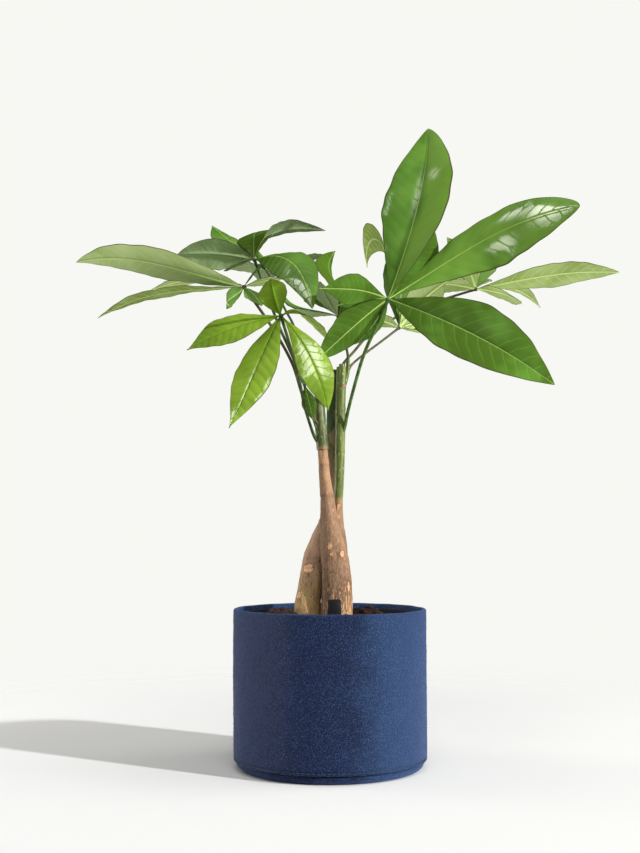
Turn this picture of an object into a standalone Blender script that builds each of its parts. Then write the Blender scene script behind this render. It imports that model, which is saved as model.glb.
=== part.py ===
"""Potted money tree: three crossing woody trunks, hand-shaped leaves and a felt planter.

Every size is in millimetres and is turned to metres when a mesh is made. The origin is the middle
of the planter's underside, +Z is up, and the front of the plant looks along -Y.
"""

import math
from dataclasses import dataclass

import bmesh
import bpy
import numpy as np

MM = 0.001
GAP = 0.3

# Planter: a rolled felt wall sewn to a shallow felt base
PLANTER_RADIUS = 89.4
PLANTER_HEIGHT = 145.5
FELT_THICKNESS = 4.0
BASE_HEIGHT = 8.0
BASE_INSET = 2.4
BASE_CORNER = 7.0
FELT_RIPPLE = 0.6
PLANTER_SEGMENTS = 48

# Nursery pot that stands inside the planter
LINER_TOP_RADIUS = 82.5
LINER_FOOT_RADIUS = 64.0
LINER_RIM_RADIUS = 84.0
LINER_RIM_DEPTH = 7.0
LINER_TOP = 140.5
LINER_WALL = 1.6
LINER_SEGMENTS = 36
DRAIN_SIDES = 10
DRAIN_RADIUS = 4.0
DRAIN_CIRCLE = 44.0
DRAIN_COUNT = 6

# Soil and the tag in it
SOIL_TOP = 135.5
SOIL_CLUMP = 1.8
SOIL_FALL = 1.5
SOIL_RINGS = 5
ROOT_DEPTH = 92.0
LABEL_WIDTH = 12.2
LABEL_THICKNESS = 0.9
LABEL_TOP = 155.0
LABEL_FOOT = 101.0
LABEL_CHAMFER = 2.0
LABEL_PLACE = (3.9, -28.6)

# Leaves
BLADE_EDGE = 0.7
BLADE_RIB = 1.5
BLADE_STEP = 17.0
SMALL_LEAFLET = 80.0
BLADE_CURL = 0.12
BLADE_WAVE = 0.9
LEAFLET_STALK = 0.9
HUB_RADIUS = 2.6
HUB_SWELL = 1.6
STALK_SIDES = 6
STALK_SEAT_SWELL = (1.5, 1.15)


@dataclass(frozen=True)
class Stem:
    """A round stem: the points of its middle line and its radius at each of them.

    Where a stem turns from bark to green at a bark line, woody picks the part below it or above it.
    """

    route: tuple
    radii: tuple
    sides: int = 16
    steps: int = 12
    flutes: float = 0.0
    bark_line: float = 0.0
    woody: bool = True


@dataclass(frozen=True)
class Leaflet:
    """One blade of a hand-shaped leaf.

    fan is its clock angle round the hub in degrees, seen from the face of the leaf, and tilt is how
    far it leaves the leaf's plane. arch and bow move the midrib up and sideways as shares of length,
    roll turns the blade about its own line, fold lifts its margins, and peak and tip shape its outline.
    """

    fan: float
    tilt: float
    length: float
    width: float
    arch: tuple = (0.06, 0.06)
    bow: float = 0.0
    roll: float = 0.0
    fold: float = 0.0
    peak: float = 0.55
    tip: float = 1.1


@dataclass(frozen=True)
class Leaf:
    """A compound leaf: its stalk, and the leaflets that spread from the hub at the stalk's end.

    face is the bearing and the rise, in degrees, of the way that the upper side looks.
    """

    name: str
    grows_on: str
    stalk: tuple
    stalk_radius: float
    face: tuple
    leaflets: tuple


# The left trunk leans in behind the front one, shows again between the green stems and is cut off flat
TRUNK_LEFT = Stem(
    route=(
        (-22, 1, ROOT_DEPTH), (-21.5, 1.5, 142), (-19.3, 3, 164), (-15.5, 6.5, 189), (-9.7, 11, 207),
        (-3.4, 16.2, 226), (0.5, 17, 243), (2, 16, 259), (2.6, 13.2, 301), (2.7, 12, 342),
        (3.4, 12.3, 371.5)),
    radii=(13.4, 12.4, 11.2, 10.2, 8.9, 6.6, 5.4, 4.8, 4.3, 4.3, 4.4), steps=26, flutes=0.035)

# The front trunk leans a little to the left and goes on as the left green stem
FRONT_ROUTE = (
    (6, -10, ROOT_DEPTH), (5.9, -10, 144), (5.4, -9.5, 180), (3.2, -8.4, 201), (-0.2, -6.4, 223),
    (-2.2, -5, 244), (-4.7, -4.2, 265), (-6.8, -4, 291), (-8.4, -4, 312), (-10, -3, 336), (-11, -2, 357))
FRONT_RADII = (15.6, 14.7, 13.4, 12.0, 9.0, 6.9, 5.3, 4.6, 4.4, 4.0, 2.2)
FRONT_BARK_LINE = 293.5
TRUNK_FRONT = Stem(FRONT_ROUTE, FRONT_RADII, 16, 25, 0.03, FRONT_BARK_LINE)
STEM_LEFT = Stem(FRONT_ROUTE, FRONT_RADII, 12, 25, 0.0, FRONT_BARK_LINE, woody=False)

# The back trunk stands behind the front one and goes on as the right green stem
BACK_ROUTE = (
    (8, 17.5, ROOT_DEPTH), (8, 17, 144), (9, 15, 180), (9.2, 12, 203), (7.6, 9, 223), (7.4, 6.8, 237),
    (7.9, 6, 247), (8.6, 5, 259), (9.2, 4, 275), (9.6, 2.5, 303), (10.2, 2.5, 341), (11.1, 3, 373))
BACK_RADII = (10.8, 10.0, 8.8, 7.4, 6.0, 4.9, 4.4, 4.4, 4.5, 4.8, 4.9, 4.8)
BACK_BARK_LINE = 246.0
TRUNK_BACK = Stem(BACK_ROUTE, BACK_RADII, 16, 26, 0.03, BACK_BARK_LINE)
STEM_RIGHT = Stem(BACK_ROUTE, BACK_RADII, 12, 26, 0.0, BACK_BARK_LINE, woody=False)
SIDE_SHOOT = Stem(
    route=((10.6, 3, 348), (13.6, 4.2, 356), (16.9, 6.4, 368), (17.4, 6, 381)), radii=(2.2, 2.2, 2.0, 1.8),
    sides=8, steps=5)
CUT_KNOB = Stem(route=((11.6, 3, 370), (11.8, 3.2, 376)), radii=(3.4, 2.8), sides=8, steps=1)

# Places where side branches were pruned off: the middle and the radius of each
TRUNK_LEFT_SCARS = (((-20.2, -3.4, 182), 4.6), ((-27.4, -5.4, 157), 3.4))
TRUNK_FRONT_SCARS = (((-0.6, -19.0, 200), 3.0), ((10.4, -18.6, 194), 3.4), ((15.2, -18.2, 169), 3.0))
STEM_RIGHT_SCARS = (((13.2, -0.8, 355), 2.8), ((8.2, -0.6, 289), 2.6))
SCAR_SQUASH = 0.6

LEAVES = (
    Leaf(
        "leaf_front_right", "stem_right",
        ((9.8, 2.4, 306), (13.8, -1, 315), (17, -9, 330), (23, -26, 353), (31, -42, 379), (43, -63, 405),
         (52, -70, 425)),
        1.7, (-78, 38), (
            Leaflet(80, 27, 179, 70, (0.05, 0.03), 0.07, -34, 16, 0.54, 0.8),
            Leaflet(10, 36, 185, 67, (-0.12, -0.04), -0.16, 0, -4, 0.59, 0.7),
            Leaflet(-38, 6, 172, 65, (0.09, 0.12), 0.03, 15, 16, 0.54, 0.9),
            Leaflet(-138, -24, 87, 32, (-0.02, 0.03), 0.02, -55, -8, 0.48, 0.8),
            Leaflet(-156, 20, 78, 28, (-0.10, 0.12), 0.05, -62, 3, 0.58, 1.5),
            Leaflet(168, -28, 49, 24, (0.03, 0.03), 0.04),
            Leaflet(-150, -62, 54, 17, (0.04, 0.04), -0.04, -60),
            Leaflet(65, 5, 111, 36, (0.04, 0.04), 0.02),
        )),
    Leaf(
        "leaf_behind_right", "stem_right",
        ((16.4, 6.2, 367), (19.4, 9, 374), (24, 13, 379.5), (33, 22, 388), (50, 33, 402), (69, 45, 418)),
        1.2, (60, 55), (
            Leaflet(-112, 59, 93, 38, (0.06, 0.06), 0, -150),
            Leaflet(138, 55, 153, 40, (0.22, 0.09), -0.37, 14, 11, 0.48, 1.3),
            Leaflet(-145, -22, 47, 26, (0.05, 0.05), -0.02),
            Leaflet(-55, 20, 70, 34, (0.08, 0.08), 0.02),
            Leaflet(28, 42, 86, 34, (0.05, 0.05)),
            Leaflet(84, 40, 122, 38, (0.03, 0.03), -0.02),
        )),
    Leaf(
        "leaf_far_right", "stem_right",
        ((11.4, 3.4, 366), (12.6, 9.5, 376), (17, 15, 383), (23, 24, 390.5), (42, 47, 414), (73, 72, 436),
         (115, 82, 453), (149, 70, 462)),
        1.4, (75, 60), (
            Leaflet(-5, 12, 146, 44, (0.01, 0.04), 0.03, 8, 5, 0.55, 0.9),
            Leaflet(35, 17, 92, 28, (0.09, 0.16), 0.01, 24, 11, 0.50, 1.3),
            Leaflet(72, 62, 74, 32, (0.08, 0.08)),
            Leaflet(-139, -28, 58, 30, (0.06, 0.06), 0.04),
            Leaflet(-136, 36, 60, 34, (0.12, 0.12), -0.02),
            Leaflet(-43, -38, 75, 30, (0.06, 0.06), -0.02),
            Leaflet(91, 40, 123, 40, (0.12, 0.12)),
        )),
    Leaf(
        "leaf_far_left", "stem_left",
        ((-8, -3.8, 314), (-12.5, -8, 319), (-21, -14, 330), (-27, -22, 347), (-36, -30, 374),
         (-55, -36, 407), (-80, -35, 443)),
        1.5, (150, 72), (
            Leaflet(-179, 24, 158, 58, (-0.04, 0.04), -0.13, 7, 8, 0.52, 0.9),
            Leaflet(-178, 2, 137, 50, (0.03, 0.10), -0.05, -11, 7, 0.60, 1.0),
            Leaflet(137, 24, 130, 38, (0.08, 0.08), 0.04),
            Leaflet(-110, -31, 63, 18, (0.0, 0.16), 0.03, 63, 8),
            Leaflet(130, 28, 52, 22, (0.06, 0.06), 0.02),
            Leaflet(-57, -56, 34, 20, (0.05, 0.05), -0.02),
            Leaflet(29, 39, 40, 20, (0.05, 0.05), 0.04),
            Leaflet(6, -1, 37, 20, (0.05, 0.05), 0.04),
        )),
    Leaf(
        "leaf_upper_left", "stem_left",
        ((-9.2, -3, 326), (-14, -3.5, 333), (-20, -6, 343), (-27, -10, 362), (-36, -12, 383), (-50, -13, 415),
         (-72, -8, 475)),
        1.5, (120, 70), (
            Leaflet(-178, 13, 73, 34, (0.01, 0.0), -0.05, 29, 2, 0.50, 0.8),
            Leaflet(128, 52, 91, 35, (-0.02, -0.01), 0.01, -8, -2, 0.54, 1.1),
            Leaflet(31, 28, 102, 32, (0.20, 0.21), -0.08, -2, 16, 0.48, 0.9),
            Leaflet(-56, -52, 118, 40, (0.13, 0.16), -0.11, 34, -4, 0.48, 0.8),
            Leaflet(-126, -30, 50, 28, (0.05, 0.05), 0.06),
            Leaflet(79, 43, 104, 38, (0.12, 0.12)),
        )),
    Leaf(
        "leaf_front_left", "stem_left",
        ((-7.6, -4.1, 297), (-14, -7.6, 304.5), (-19, -21.5, 317), (-24, -44, 333), (-28, -62, 352),
         (-35, -75, 378), (-44, -85, 407)),
        1.5, (-110, 42), (
            Leaflet(-151, 10, 91, 35, (0.05, 0.05), 0.01, -10, 9, 0.56, 1.4),
            Leaflet(-117, -15, 118, 36, (0.04, 0.0), -0.01, -7, 3, 0.53, 1.3),
            Leaflet(-70, -28, 101, 29, (0.04, 0.05), -0.06, -3, 2, 0.60, 1.0),
            Leaflet(-74, 59, 74, 25, (-0.01, 0.05), 0.02, -2, 5, 0.60, 0.8),
            Leaflet(46, -55, 72, 26, (0.21, 0.06), -0.04, 3, 10, 0.57, 1.1),
        )),
    Leaf(
        "leaf_middle", "stem_right",
        ((17.5, 6.2, 375), (17.2, 5.6, 385), (14, -1, 399), (10, -8, 411), (8, -12, 419)),
        1.2, (-90, 70), (
            Leaflet(92, 39, 86, 34, (0.19, -0.18), -0.07, 55, -12, 0.60, 1.0),
            Leaflet(143, 15, 71, 28, (0.01, -0.17), -0.01, 27, -12, 0.60, 1.1),
            Leaflet(-129, 53, 46, 28, (0.05, 0.05), 0.08),
            Leaflet(11, 41, 33, 24, (0.05, 0.05), 0.16),
            Leaflet(82, -4, 107, 34, (0.12, 0.12)),
            Leaflet(106, -3, 100, 34, (0.12, 0.12)),
        )),
    Leaf(
        "leaf_back", "stem_left",
        ((-9.8, -2.6, 339), (-11, 3.5, 347), (-16, 12, 361), (-26, 24, 393), (-36, 34, 420), (-45, 42, 438),
         (-62, 50, 476)),
        1.3, (90, 65), (
            Leaflet(6, 23, 64, 30, (-0.03, 0.06), 0.03, 19, 3, 0.59, 1.0),
            Leaflet(136, 67, 35, 20, (0.05, 0.05), -0.06),
            Leaflet(145, 27, 68, 30, (0.10, 0.10)),
            Leaflet(96, 30, 116, 38, (0.12, 0.12)),
            Leaflet(69, 26, 95, 36, (0.12, 0.12), 0.02),
        )),
    Leaf(
        "leaf_young", "stem_left",
        ((-7.4, -4, 306), (-11.5, -9, 310), (-16, -15, 322), (-20, -22, 339), (-24, -22, 353)),
        0.9, (-100, 50), (
            Leaflet(-76, -49, 34, 14, (0.05, 0.05)),
            Leaflet(-94, 61, 26, 11, (0.05, 0.05), 0.02),
            Leaflet(-23, 35, 24, 12, (0.05, 0.05), -0.08),
        )),
)

# Colour and roughness of each finish
FELT_NAVY = ((0.024, 0.045, 0.125), 0.95)
LINER_BLACK = ((0.012, 0.012, 0.013), 0.45)
SOIL_BROWN = ((0.055, 0.030, 0.017), 0.98)
LABEL_BLACK = ((0.015, 0.015, 0.017), 0.40)
BARK_BROWN = ((0.240, 0.135, 0.075), 0.85)
STEM_GREEN = ((0.115, 0.180, 0.045), 0.50)
LEAF_GREEN = ((0.085, 0.250, 0.030), 0.35)
LEAF_LIME = ((0.210, 0.410, 0.030), 0.32)


def clear_scene():
    """Removes whatever the opened scene holds."""
    for item in list(bpy.data.objects):
        bpy.data.objects.remove(item, do_unlink=True)


def make_material(name, finish):
    """Makes one Principled material from a colour and a roughness."""
    colour, roughness = finish
    material = bpy.data.materials.new(name)
    material.use_nodes = True
    shader = material.node_tree.nodes["Principled BSDF"]
    shader.inputs["Base Color"].default_value = (*colour, 1.0)
    shader.inputs["Roughness"].default_value = roughness
    shader.inputs["Metallic"].default_value = 0.0
    return material


def make_object(name, points, faces, smooth_angle=40.0):
    """Makes a mesh object from points in millimetres and faces, with its normals facing out."""
    mesh = bpy.data.meshes.new(name)
    mesh.from_pydata([tuple(float(value) * MM for value in point) for point in points], [], faces)
    form = bmesh.new()
    form.from_mesh(mesh)
    bmesh.ops.recalc_face_normals(form, faces=form.faces)
    form.to_mesh(mesh)
    form.free()
    mesh.shade_smooth()
    mesh.set_sharp_from_angle(angle=math.radians(smooth_angle))
    item = bpy.data.objects.new(name, mesh)
    bpy.context.scene.collection.objects.link(item)
    return item


def finish_object(item, finish):
    """Gives an object its own material."""
    item.data.materials.clear()
    item.data.materials.append(make_material(item.name, finish))
    return item


def combine(item, others, operation):
    """Joins other objects to one, or cuts them from it, in a single Boolean that is then applied."""
    group = bpy.data.collections.new(item.name + "_tools")
    bpy.context.scene.collection.children.link(group)
    for other in others:
        bpy.context.scene.collection.objects.unlink(other)
        group.objects.link(other)
    modifier = item.modifiers.new("combine", "BOOLEAN")
    modifier.operation = operation
    modifier.solver = "EXACT"
    modifier.operand_type = "COLLECTION"
    modifier.collection = group
    bpy.context.view_layer.update()
    result = bpy.data.meshes.new_from_object(item.evaluated_get(bpy.context.evaluated_depsgraph_get()))
    item.modifiers.clear()
    item.data = result
    for other in others:
        bpy.data.objects.remove(other, do_unlink=True)
    bpy.data.collections.remove(group)
    return item


def unit(vector):
    """Returns the vector at length one."""
    return vector / np.linalg.norm(vector)


def turned(vector, axis, angle):
    """Turns a vector about a unit axis by an angle in radians."""
    kept = axis * axis.dot(vector)
    return kept + (vector - kept) * math.cos(angle) + np.cross(axis, vector) * math.sin(angle)


def smooth_line(points, values, steps):
    """Reads a smooth curve through points, and the value beside each, at steps + 1 even places."""
    points = np.array(points, float)
    values = np.array(values, float)
    joined = np.column_stack([points, values])
    padded = np.vstack([2 * joined[0] - joined[1], joined, 2 * joined[-1] - joined[-2]])
    lengths = np.concatenate([[0.0], np.cumsum(np.linalg.norm(np.diff(points, axis=0), axis=1))])
    places = np.interp(np.linspace(0, lengths[-1], steps + 1), lengths, np.arange(len(points)))
    read = []
    for place in places:
        start = min(int(place), len(points) - 2)
        t = place - start
        a, b, c, d = padded[start:start + 4]
        bend = (2 * a - 5 * b + 4 * c - d) * t ** 2 + (3 * b - a - 3 * c + d) * t ** 3
        read.append(0.5 * (2 * b + (c - a) * t + bend))
    read = np.array(read)
    return read[:, :3], read[:, 3]


def make_tube(name, stem, extra=0.0):
    """Makes a closed tube round a stem's middle line; extra widens and lengthens it, for a cutter."""
    line, radii = smooth_line(stem.route, stem.radii, stem.steps)
    along = np.gradient(line, axis=0)
    along /= np.linalg.norm(along, axis=1)[:, None]
    if stem.bark_line:
        change = int(np.argmin(np.abs(line[:, 2] - stem.bark_line)))
        kept = slice(0, change + 1) if stem.woody else slice(change, None)
        line, along, radii = line[kept], along[kept], radii[kept]
        if not stem.woody:
            line[0] += along[0] * GAP
    line[0] -= along[0] * extra
    line[-1] += along[-1] * extra
    side = unit(np.cross(along[0], (0.0, 1.0, 0.05)))
    points = []
    for place, (middle, way, radius) in enumerate(zip(line, along, radii)):
        side = unit(side - side.dot(way) * way)
        other = np.cross(way, side)
        for corner in range(stem.sides):
            angle = math.tau * corner / stem.sides
            flute = math.sin(3 * angle + 0.7 * place) + 0.6 * math.sin(5 * angle - 0.4 * place)
            reach = radius * (1 + stem.flutes * flute) + extra
            points.append(middle + reach * (math.cos(angle) * side + math.sin(angle) * other))
    faces = [tuple(range(stem.sides)), tuple(range(len(points) - stem.sides, len(points)))]
    for ring in range(len(line) - 1):
        for corner in range(stem.sides):
            after = (corner + 1) % stem.sides
            low, high = ring * stem.sides, (ring + 1) * stem.sides
            faces.append((low + corner, low + after, high + after, high + corner))
    return make_object(name, points, faces)


def make_ball(name, middle, radius, squash=1.0):
    """Makes a small ball, flattened along Y by squash."""
    form = bmesh.new()
    bmesh.ops.create_icosphere(form, subdivisions=2, radius=radius)
    points = [(v.co.x + middle[0], v.co.y * squash + middle[1], v.co.z + middle[2]) for v in form.verts]
    faces = [tuple(v.index for v in face.verts) for face in form.faces]
    form.free()
    return make_object(name, points, faces)


def make_turned(name, profile, segments, ripple=None):
    """Turns a closed profile of (radius, height) points round Z; points on the axis are shared."""
    points, rings = [], []
    for radius, height in profile:
        if radius == 0:
            rings.append([len(points)] * segments)
            points.append((0.0, 0.0, height))
            continue
        rings.append(list(range(len(points), len(points) + segments)))
        for step in range(segments):
            angle = math.tau * step / segments
            reach = radius + (ripple(angle, height) if ripple else 0.0)
            points.append((reach * math.cos(angle), reach * math.sin(angle), height))
    faces = []
    for ring, following in zip(rings, rings[1:] + rings[:1]):
        for step in range(segments):
            after = (step + 1) % segments
            corners = (ring[step], ring[after], following[after], following[step])
            face = tuple(dict.fromkeys(corners))
            if len(face) > 2:
                faces.append(face)
    return make_object(name, points, faces)


def arc(middle, radius, start, end, steps):
    """Points along a quarter round of a turned profile, angles in degrees."""
    turns = [math.radians(start + (end - start) * step / steps) for step in range(steps + 1)]
    return [(middle[0] + radius * math.cos(turn), middle[1] + radius * math.sin(turn)) for turn in turns]


def felt_ripple(angle, height):
    """How far the soft wall leans in or out of round at a place, in millimetres."""
    rise = height / PLANTER_HEIGHT
    return FELT_RIPPLE * (math.sin(2 * angle + 2.2 * rise) + 0.6 * math.sin(3 * angle - 3.0 * rise + 1.0))


def build_felt_wall():
    """The rolled wall, from the seam above the base up to its soft top edge."""
    inner = PLANTER_RADIUS - FELT_THICKNESS
    soft = FELT_THICKNESS / 4
    bottom = BASE_HEIGHT + GAP
    heights = [bottom + (PLANTER_HEIGHT - bottom) * share for share in (0.3, 0.65)]
    profile = [(PLANTER_RADIUS, bottom)]
    profile += [(PLANTER_RADIUS, height) for height in heights]
    profile += [(PLANTER_RADIUS, PLANTER_HEIGHT - soft), (PLANTER_RADIUS - soft, PLANTER_HEIGHT)]
    profile += [(inner + soft, PLANTER_HEIGHT), (inner, PLANTER_HEIGHT - soft)]
    profile += [(inner, height) for height in reversed(heights)]
    profile += [(inner, bottom)]
    return finish_object(make_turned("felt_wall", profile, PLANTER_SEGMENTS, felt_ripple), FELT_NAVY)


def build_felt_base():
    """The shallow base that the wall is sewn to, with its soft lower edge."""
    outer = PLANTER_RADIUS - BASE_INSET
    inner = PLANTER_RADIUS - FELT_THICKNESS - BASE_INSET
    profile = [(0, 0)]
    profile += arc((outer - BASE_CORNER, BASE_CORNER), BASE_CORNER, -90, 0, 3)
    profile += [(outer, BASE_HEIGHT), (inner, BASE_HEIGHT), (inner, FELT_THICKNESS), (0, FELT_THICKNESS)]
    return finish_object(make_turned("felt_base", profile, PLANTER_SEGMENTS), FELT_NAVY)


def liner_radius(height):
    """Outer radius of the nursery pot's tapered wall at a height."""
    foot = FELT_THICKNESS + GAP
    share = (height - foot) / (LINER_TOP - foot)
    return LINER_FOOT_RADIUS + (LINER_TOP_RADIUS - LINER_FOOT_RADIUS) * share


def build_nursery_pot():
    """The thin plastic pot, its turned-out rim and its drain holes."""
    foot = FELT_THICKNESS + GAP
    under_rim = LINER_TOP - LINER_RIM_DEPTH
    floor = foot + LINER_WALL
    profile = [
        (0, foot), (LINER_FOOT_RADIUS, foot), (liner_radius(under_rim), under_rim),
        (LINER_RIM_RADIUS, under_rim), (LINER_RIM_RADIUS, LINER_TOP),
        (LINER_TOP_RADIUS - LINER_WALL, LINER_TOP),
        (LINER_FOOT_RADIUS - LINER_WALL, floor), (0, floor)]
    pot = make_turned("nursery_pot", profile, LINER_SEGMENTS)
    drains = []
    for number in range(DRAIN_COUNT):
        angle = math.tau * number / DRAIN_COUNT
        x, y = DRAIN_CIRCLE * math.cos(angle), DRAIN_CIRCLE * math.sin(angle)
        hole = Stem(((x, y, foot - 1), (x, y, floor + 1)), (DRAIN_RADIUS, DRAIN_RADIUS), DRAIN_SIDES, steps=1)
        drains.append(make_tube(f"drain_{number}", hole))
    return finish_object(combine(pot, drains, "DIFFERENCE"), LINER_BLACK)


def soil_surface(radius, angle):
    """Height of the crumbly soil surface, highest round the trunks."""
    x, y = radius * math.cos(angle), radius * math.sin(angle)
    clumps = math.sin(0.21 * x + 1.0) * math.cos(0.17 * y) + 0.7 * math.sin(0.33 * y + 0.09 * x)
    fall = SOIL_FALL * (radius / LINER_TOP_RADIUS) ** 2
    return SOIL_TOP + SOIL_CLUMP * clumps * min(1.0, radius / 20) - fall


def build_soil():
    """The soil that fills the nursery pot, with the holes that roots and tag stand in."""
    foot = FELT_THICKNESS + GAP + LINER_WALL + GAP
    clear = LINER_WALL + 2 * GAP
    edge = liner_radius(SOIL_TOP - 3 * SOIL_CLUMP) - clear
    segments, rings = LINER_SEGMENTS, SOIL_RINGS
    points = [(0, 0, soil_surface(0, 0))]
    faces = []
    for ring in range(1, rings + 1):
        for step in range(segments):
            angle = math.tau * step / segments
            radius = edge * ring / rings
            points.append((radius * math.cos(angle), radius * math.sin(angle), soil_surface(radius, angle)))
    for step in range(segments):
        angle = math.tau * step / segments
        radius = liner_radius(foot) - clear
        points.append((radius * math.cos(angle), radius * math.sin(angle), foot))
    for step in range(segments):
        after = (step + 1) % segments
        faces.append((0, 1 + step, 1 + after))
        for ring in range(rings):
            low, high = 1 + ring * segments, 1 + (ring + 1) * segments
            faces.append((low + step, high + step, high + after, low + after))
    faces.append(tuple(range(1 + rings * segments, 1 + (rings + 1) * segments)))
    soil = make_object("soil", points, faces)
    cutters = [make_tube(name, stem, GAP) for name, stem in (
        ("left_hole", TRUNK_LEFT), ("front_hole", TRUNK_FRONT), ("back_hole", TRUNK_BACK))]
    cutters.append(make_label("label_hole", GAP))
    return finish_object(combine(soil, cutters, "DIFFERENCE"), SOIL_BROWN)


def make_label(name, extra):
    """A flat tag with a pointed foot; extra widens it all round, for the hole it stands in."""
    x, y = LABEL_PLACE
    half, thick = LABEL_WIDTH / 2 + extra, LABEL_THICKNESS / 2 + extra
    shoulder = LABEL_FOOT + LABEL_WIDTH
    bevel = half - LABEL_CHAMFER
    eave = LABEL_TOP - LABEL_CHAMFER
    outline = [
        (0.0, LABEL_FOOT - extra), (half, shoulder), (half, eave), (bevel, LABEL_TOP), (-bevel, LABEL_TOP),
        (-half, eave), (-half, shoulder)]
    count = len(outline)
    points = [(x + across, y - thick, height) for across, height in outline]
    points += [(x + across, y + thick, height) for across, height in outline]
    faces = [tuple(range(count)), tuple(range(count, 2 * count))]
    faces += [(n, (n + 1) % count, count + (n + 1) % count, count + n) for n in range(count)]
    return make_object(name, points, faces)


def build_stem(name, stem, finish, scars=(), shoots=()):
    """A trunk or green stem with its pruning scars and side shoots grown on."""
    item = make_tube(name, stem)
    grown = [make_ball(f"{name}_scar_{n}", *scar, SCAR_SQUASH) for n, scar in enumerate(scars)]
    grown += [make_tube(f"{name}_shoot_{n}", shoot) for n, shoot in enumerate(shoots)]
    if grown:
        combine(item, grown, "UNION")
    return finish_object(item, finish)


def leaf_plane(face):
    """Unit vectors of a leaf's plane, level and upward in it, and the way its upper side looks."""
    bearing, rise = (math.radians(angle) for angle in face)
    out = np.array([math.cos(bearing) * math.cos(rise), math.sin(bearing) * math.cos(rise), math.sin(rise)])
    level = unit(np.array([1.0, 0.0, 0.0]) - out[0] * out)
    return level, np.cross(out, level), out


def half_width(t, leaflet):
    """Half the blade's width at the share t of its length."""
    skew = math.log(0.5) / math.log(leaflet.peak)
    swell = max(0.0, math.sin(math.pi * t ** skew))
    past = max(0.0, (t - leaflet.peak) / (1 - leaflet.peak))
    return max(LEAFLET_STALK, leaflet.width / 2 * swell ** (1 + (leaflet.tip - 1) * past))


def blade_grid(hub, face, leaflet, steps, halves):
    """Middle surface of a blade: rows from hub to tip, each from one margin to the other."""
    level, upward, out = leaf_plane(face)
    fan, tilt = math.radians(leaflet.fan), math.radians(leaflet.tilt)
    line = math.cos(tilt) * (math.cos(fan) * level + math.sin(fan) * upward) + math.sin(tilt) * out
    top = turned(unit(out - out.dot(line) * line), line, math.radians(leaflet.roll))
    side = np.cross(line, top)
    size = leaflet.length
    lift = 4 / 3 * size
    ends = [hub, hub + line * size]
    handles = [
        hub + line * size * share + top * arch * lift + side * leaflet.bow * lift
        for share, arch in zip((1 / 3, 2 / 3), leaflet.arch)]
    fold = math.radians(leaflet.fold)
    rows = []
    for t in np.linspace(0, 1, steps + 1):
        s = 1 - t
        middle = s ** 3 * ends[0] + 3 * s * s * t * handles[0] + 3 * s * t * t * handles[1] + t ** 3 * ends[1]
        first, second, third = handles[0] - ends[0], handles[1] - handles[0], ends[1] - handles[1]
        along = unit(s * s * first + 2 * s * t * second + t * t * third)
        across = unit(side - side.dot(along) * along)
        over = np.cross(across, along)
        reach = half_width(t, leaflet)
        row = []
        for column in range(-halves, halves + 1):
            share = column / halves
            wave = BLADE_WAVE * share ** 2 * math.sin(math.tau * 3 * t + (1.3 if column > 0 else 0.0))
            rise = reach * (math.sin(fold) * abs(share) - BLADE_CURL * share ** 2)
            rise += wave * min(1.0, reach / 10)
            row.append(middle + across * reach * share * math.cos(fold) + over * rise)
        rows.append(row)
    return np.array(rows)


def make_blade(name, hub, face, leaflet):
    """Makes a leaflet as a thin closed blade, thicker along its midrib, split alike on both sides."""
    steps = max(4, round(leaflet.length / BLADE_STEP))
    halves = 2 if leaflet.length > SMALL_LEAFLET else 1
    grid = blade_grid(hub, face, leaflet, steps, halves)
    normals = np.cross(np.gradient(grid, axis=1), np.gradient(grid, axis=0))
    normals /= np.linalg.norm(normals, axis=2)[..., None]
    across = np.abs(np.linspace(-1, 1, 2 * halves + 1))
    depth = (BLADE_RIB + (BLADE_EDGE - BLADE_RIB) * np.minimum(1, across * 2)) / 2
    upper = grid + normals * depth[None, :, None]
    lower = grid - normals * depth[None, :, None]
    rows, columns = grid.shape[:2]
    points = list(upper.reshape(-1, 3)) + list(lower.reshape(-1, 3))
    below = rows * columns
    faces = []
    for row in range(rows - 1):
        for column in range(columns - 1):
            a = row * columns + column
            b, c, d = a + 1, a + columns + 1, a + columns
            split = [(a, b, c), (a, c, d)] if column < halves else [(a, b, d), (b, c, d)]
            for face_points in split:
                faces.append(face_points)
                faces.append(tuple(below + p for p in reversed(face_points)))
    rim = [row * columns for row in range(rows)]
    rim += [(rows - 1) * columns + column for column in range(1, columns)]
    rim += [row * columns + columns - 1 for row in range(rows - 2, -1, -1)]
    rim += list(range(columns - 2, 0, -1))
    for here, after in zip(rim, rim[1:] + rim[:1]):
        faces.append((here, after, below + after, below + here))
    return make_object(name, points, faces, 60.0)


def build_leaf(leaf, carriers, finish):
    """A stalk cut to sit on its stem, with the hub and the leaflets joined to it."""
    hub = np.array(leaf.stalk[-1], float)
    swell = STALK_SEAT_SWELL + (1.0,) * (len(leaf.stalk) - len(STALK_SEAT_SWELL))
    radii = tuple(leaf.stalk_radius * share for share in swell)
    stalk = make_tube(leaf.name, Stem(leaf.stalk, radii, STALK_SIDES, steps=2 * len(leaf.stalk) - 4))
    seats = [make_tube(f"{leaf.name}_seat_{n}", stem, GAP) for n, stem in enumerate(carriers)]
    combine(stalk, seats, "DIFFERENCE")
    grown = [make_blade(f"{leaf.name}_{n}", hub, leaf.face, blade) for n, blade in enumerate(leaf.leaflets)]
    grown.append(make_ball(f"{leaf.name}_hub", hub, min(HUB_RADIUS, HUB_SWELL * leaf.stalk_radius)))
    return finish_object(combine(stalk, grown, "UNION"), finish)


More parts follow.
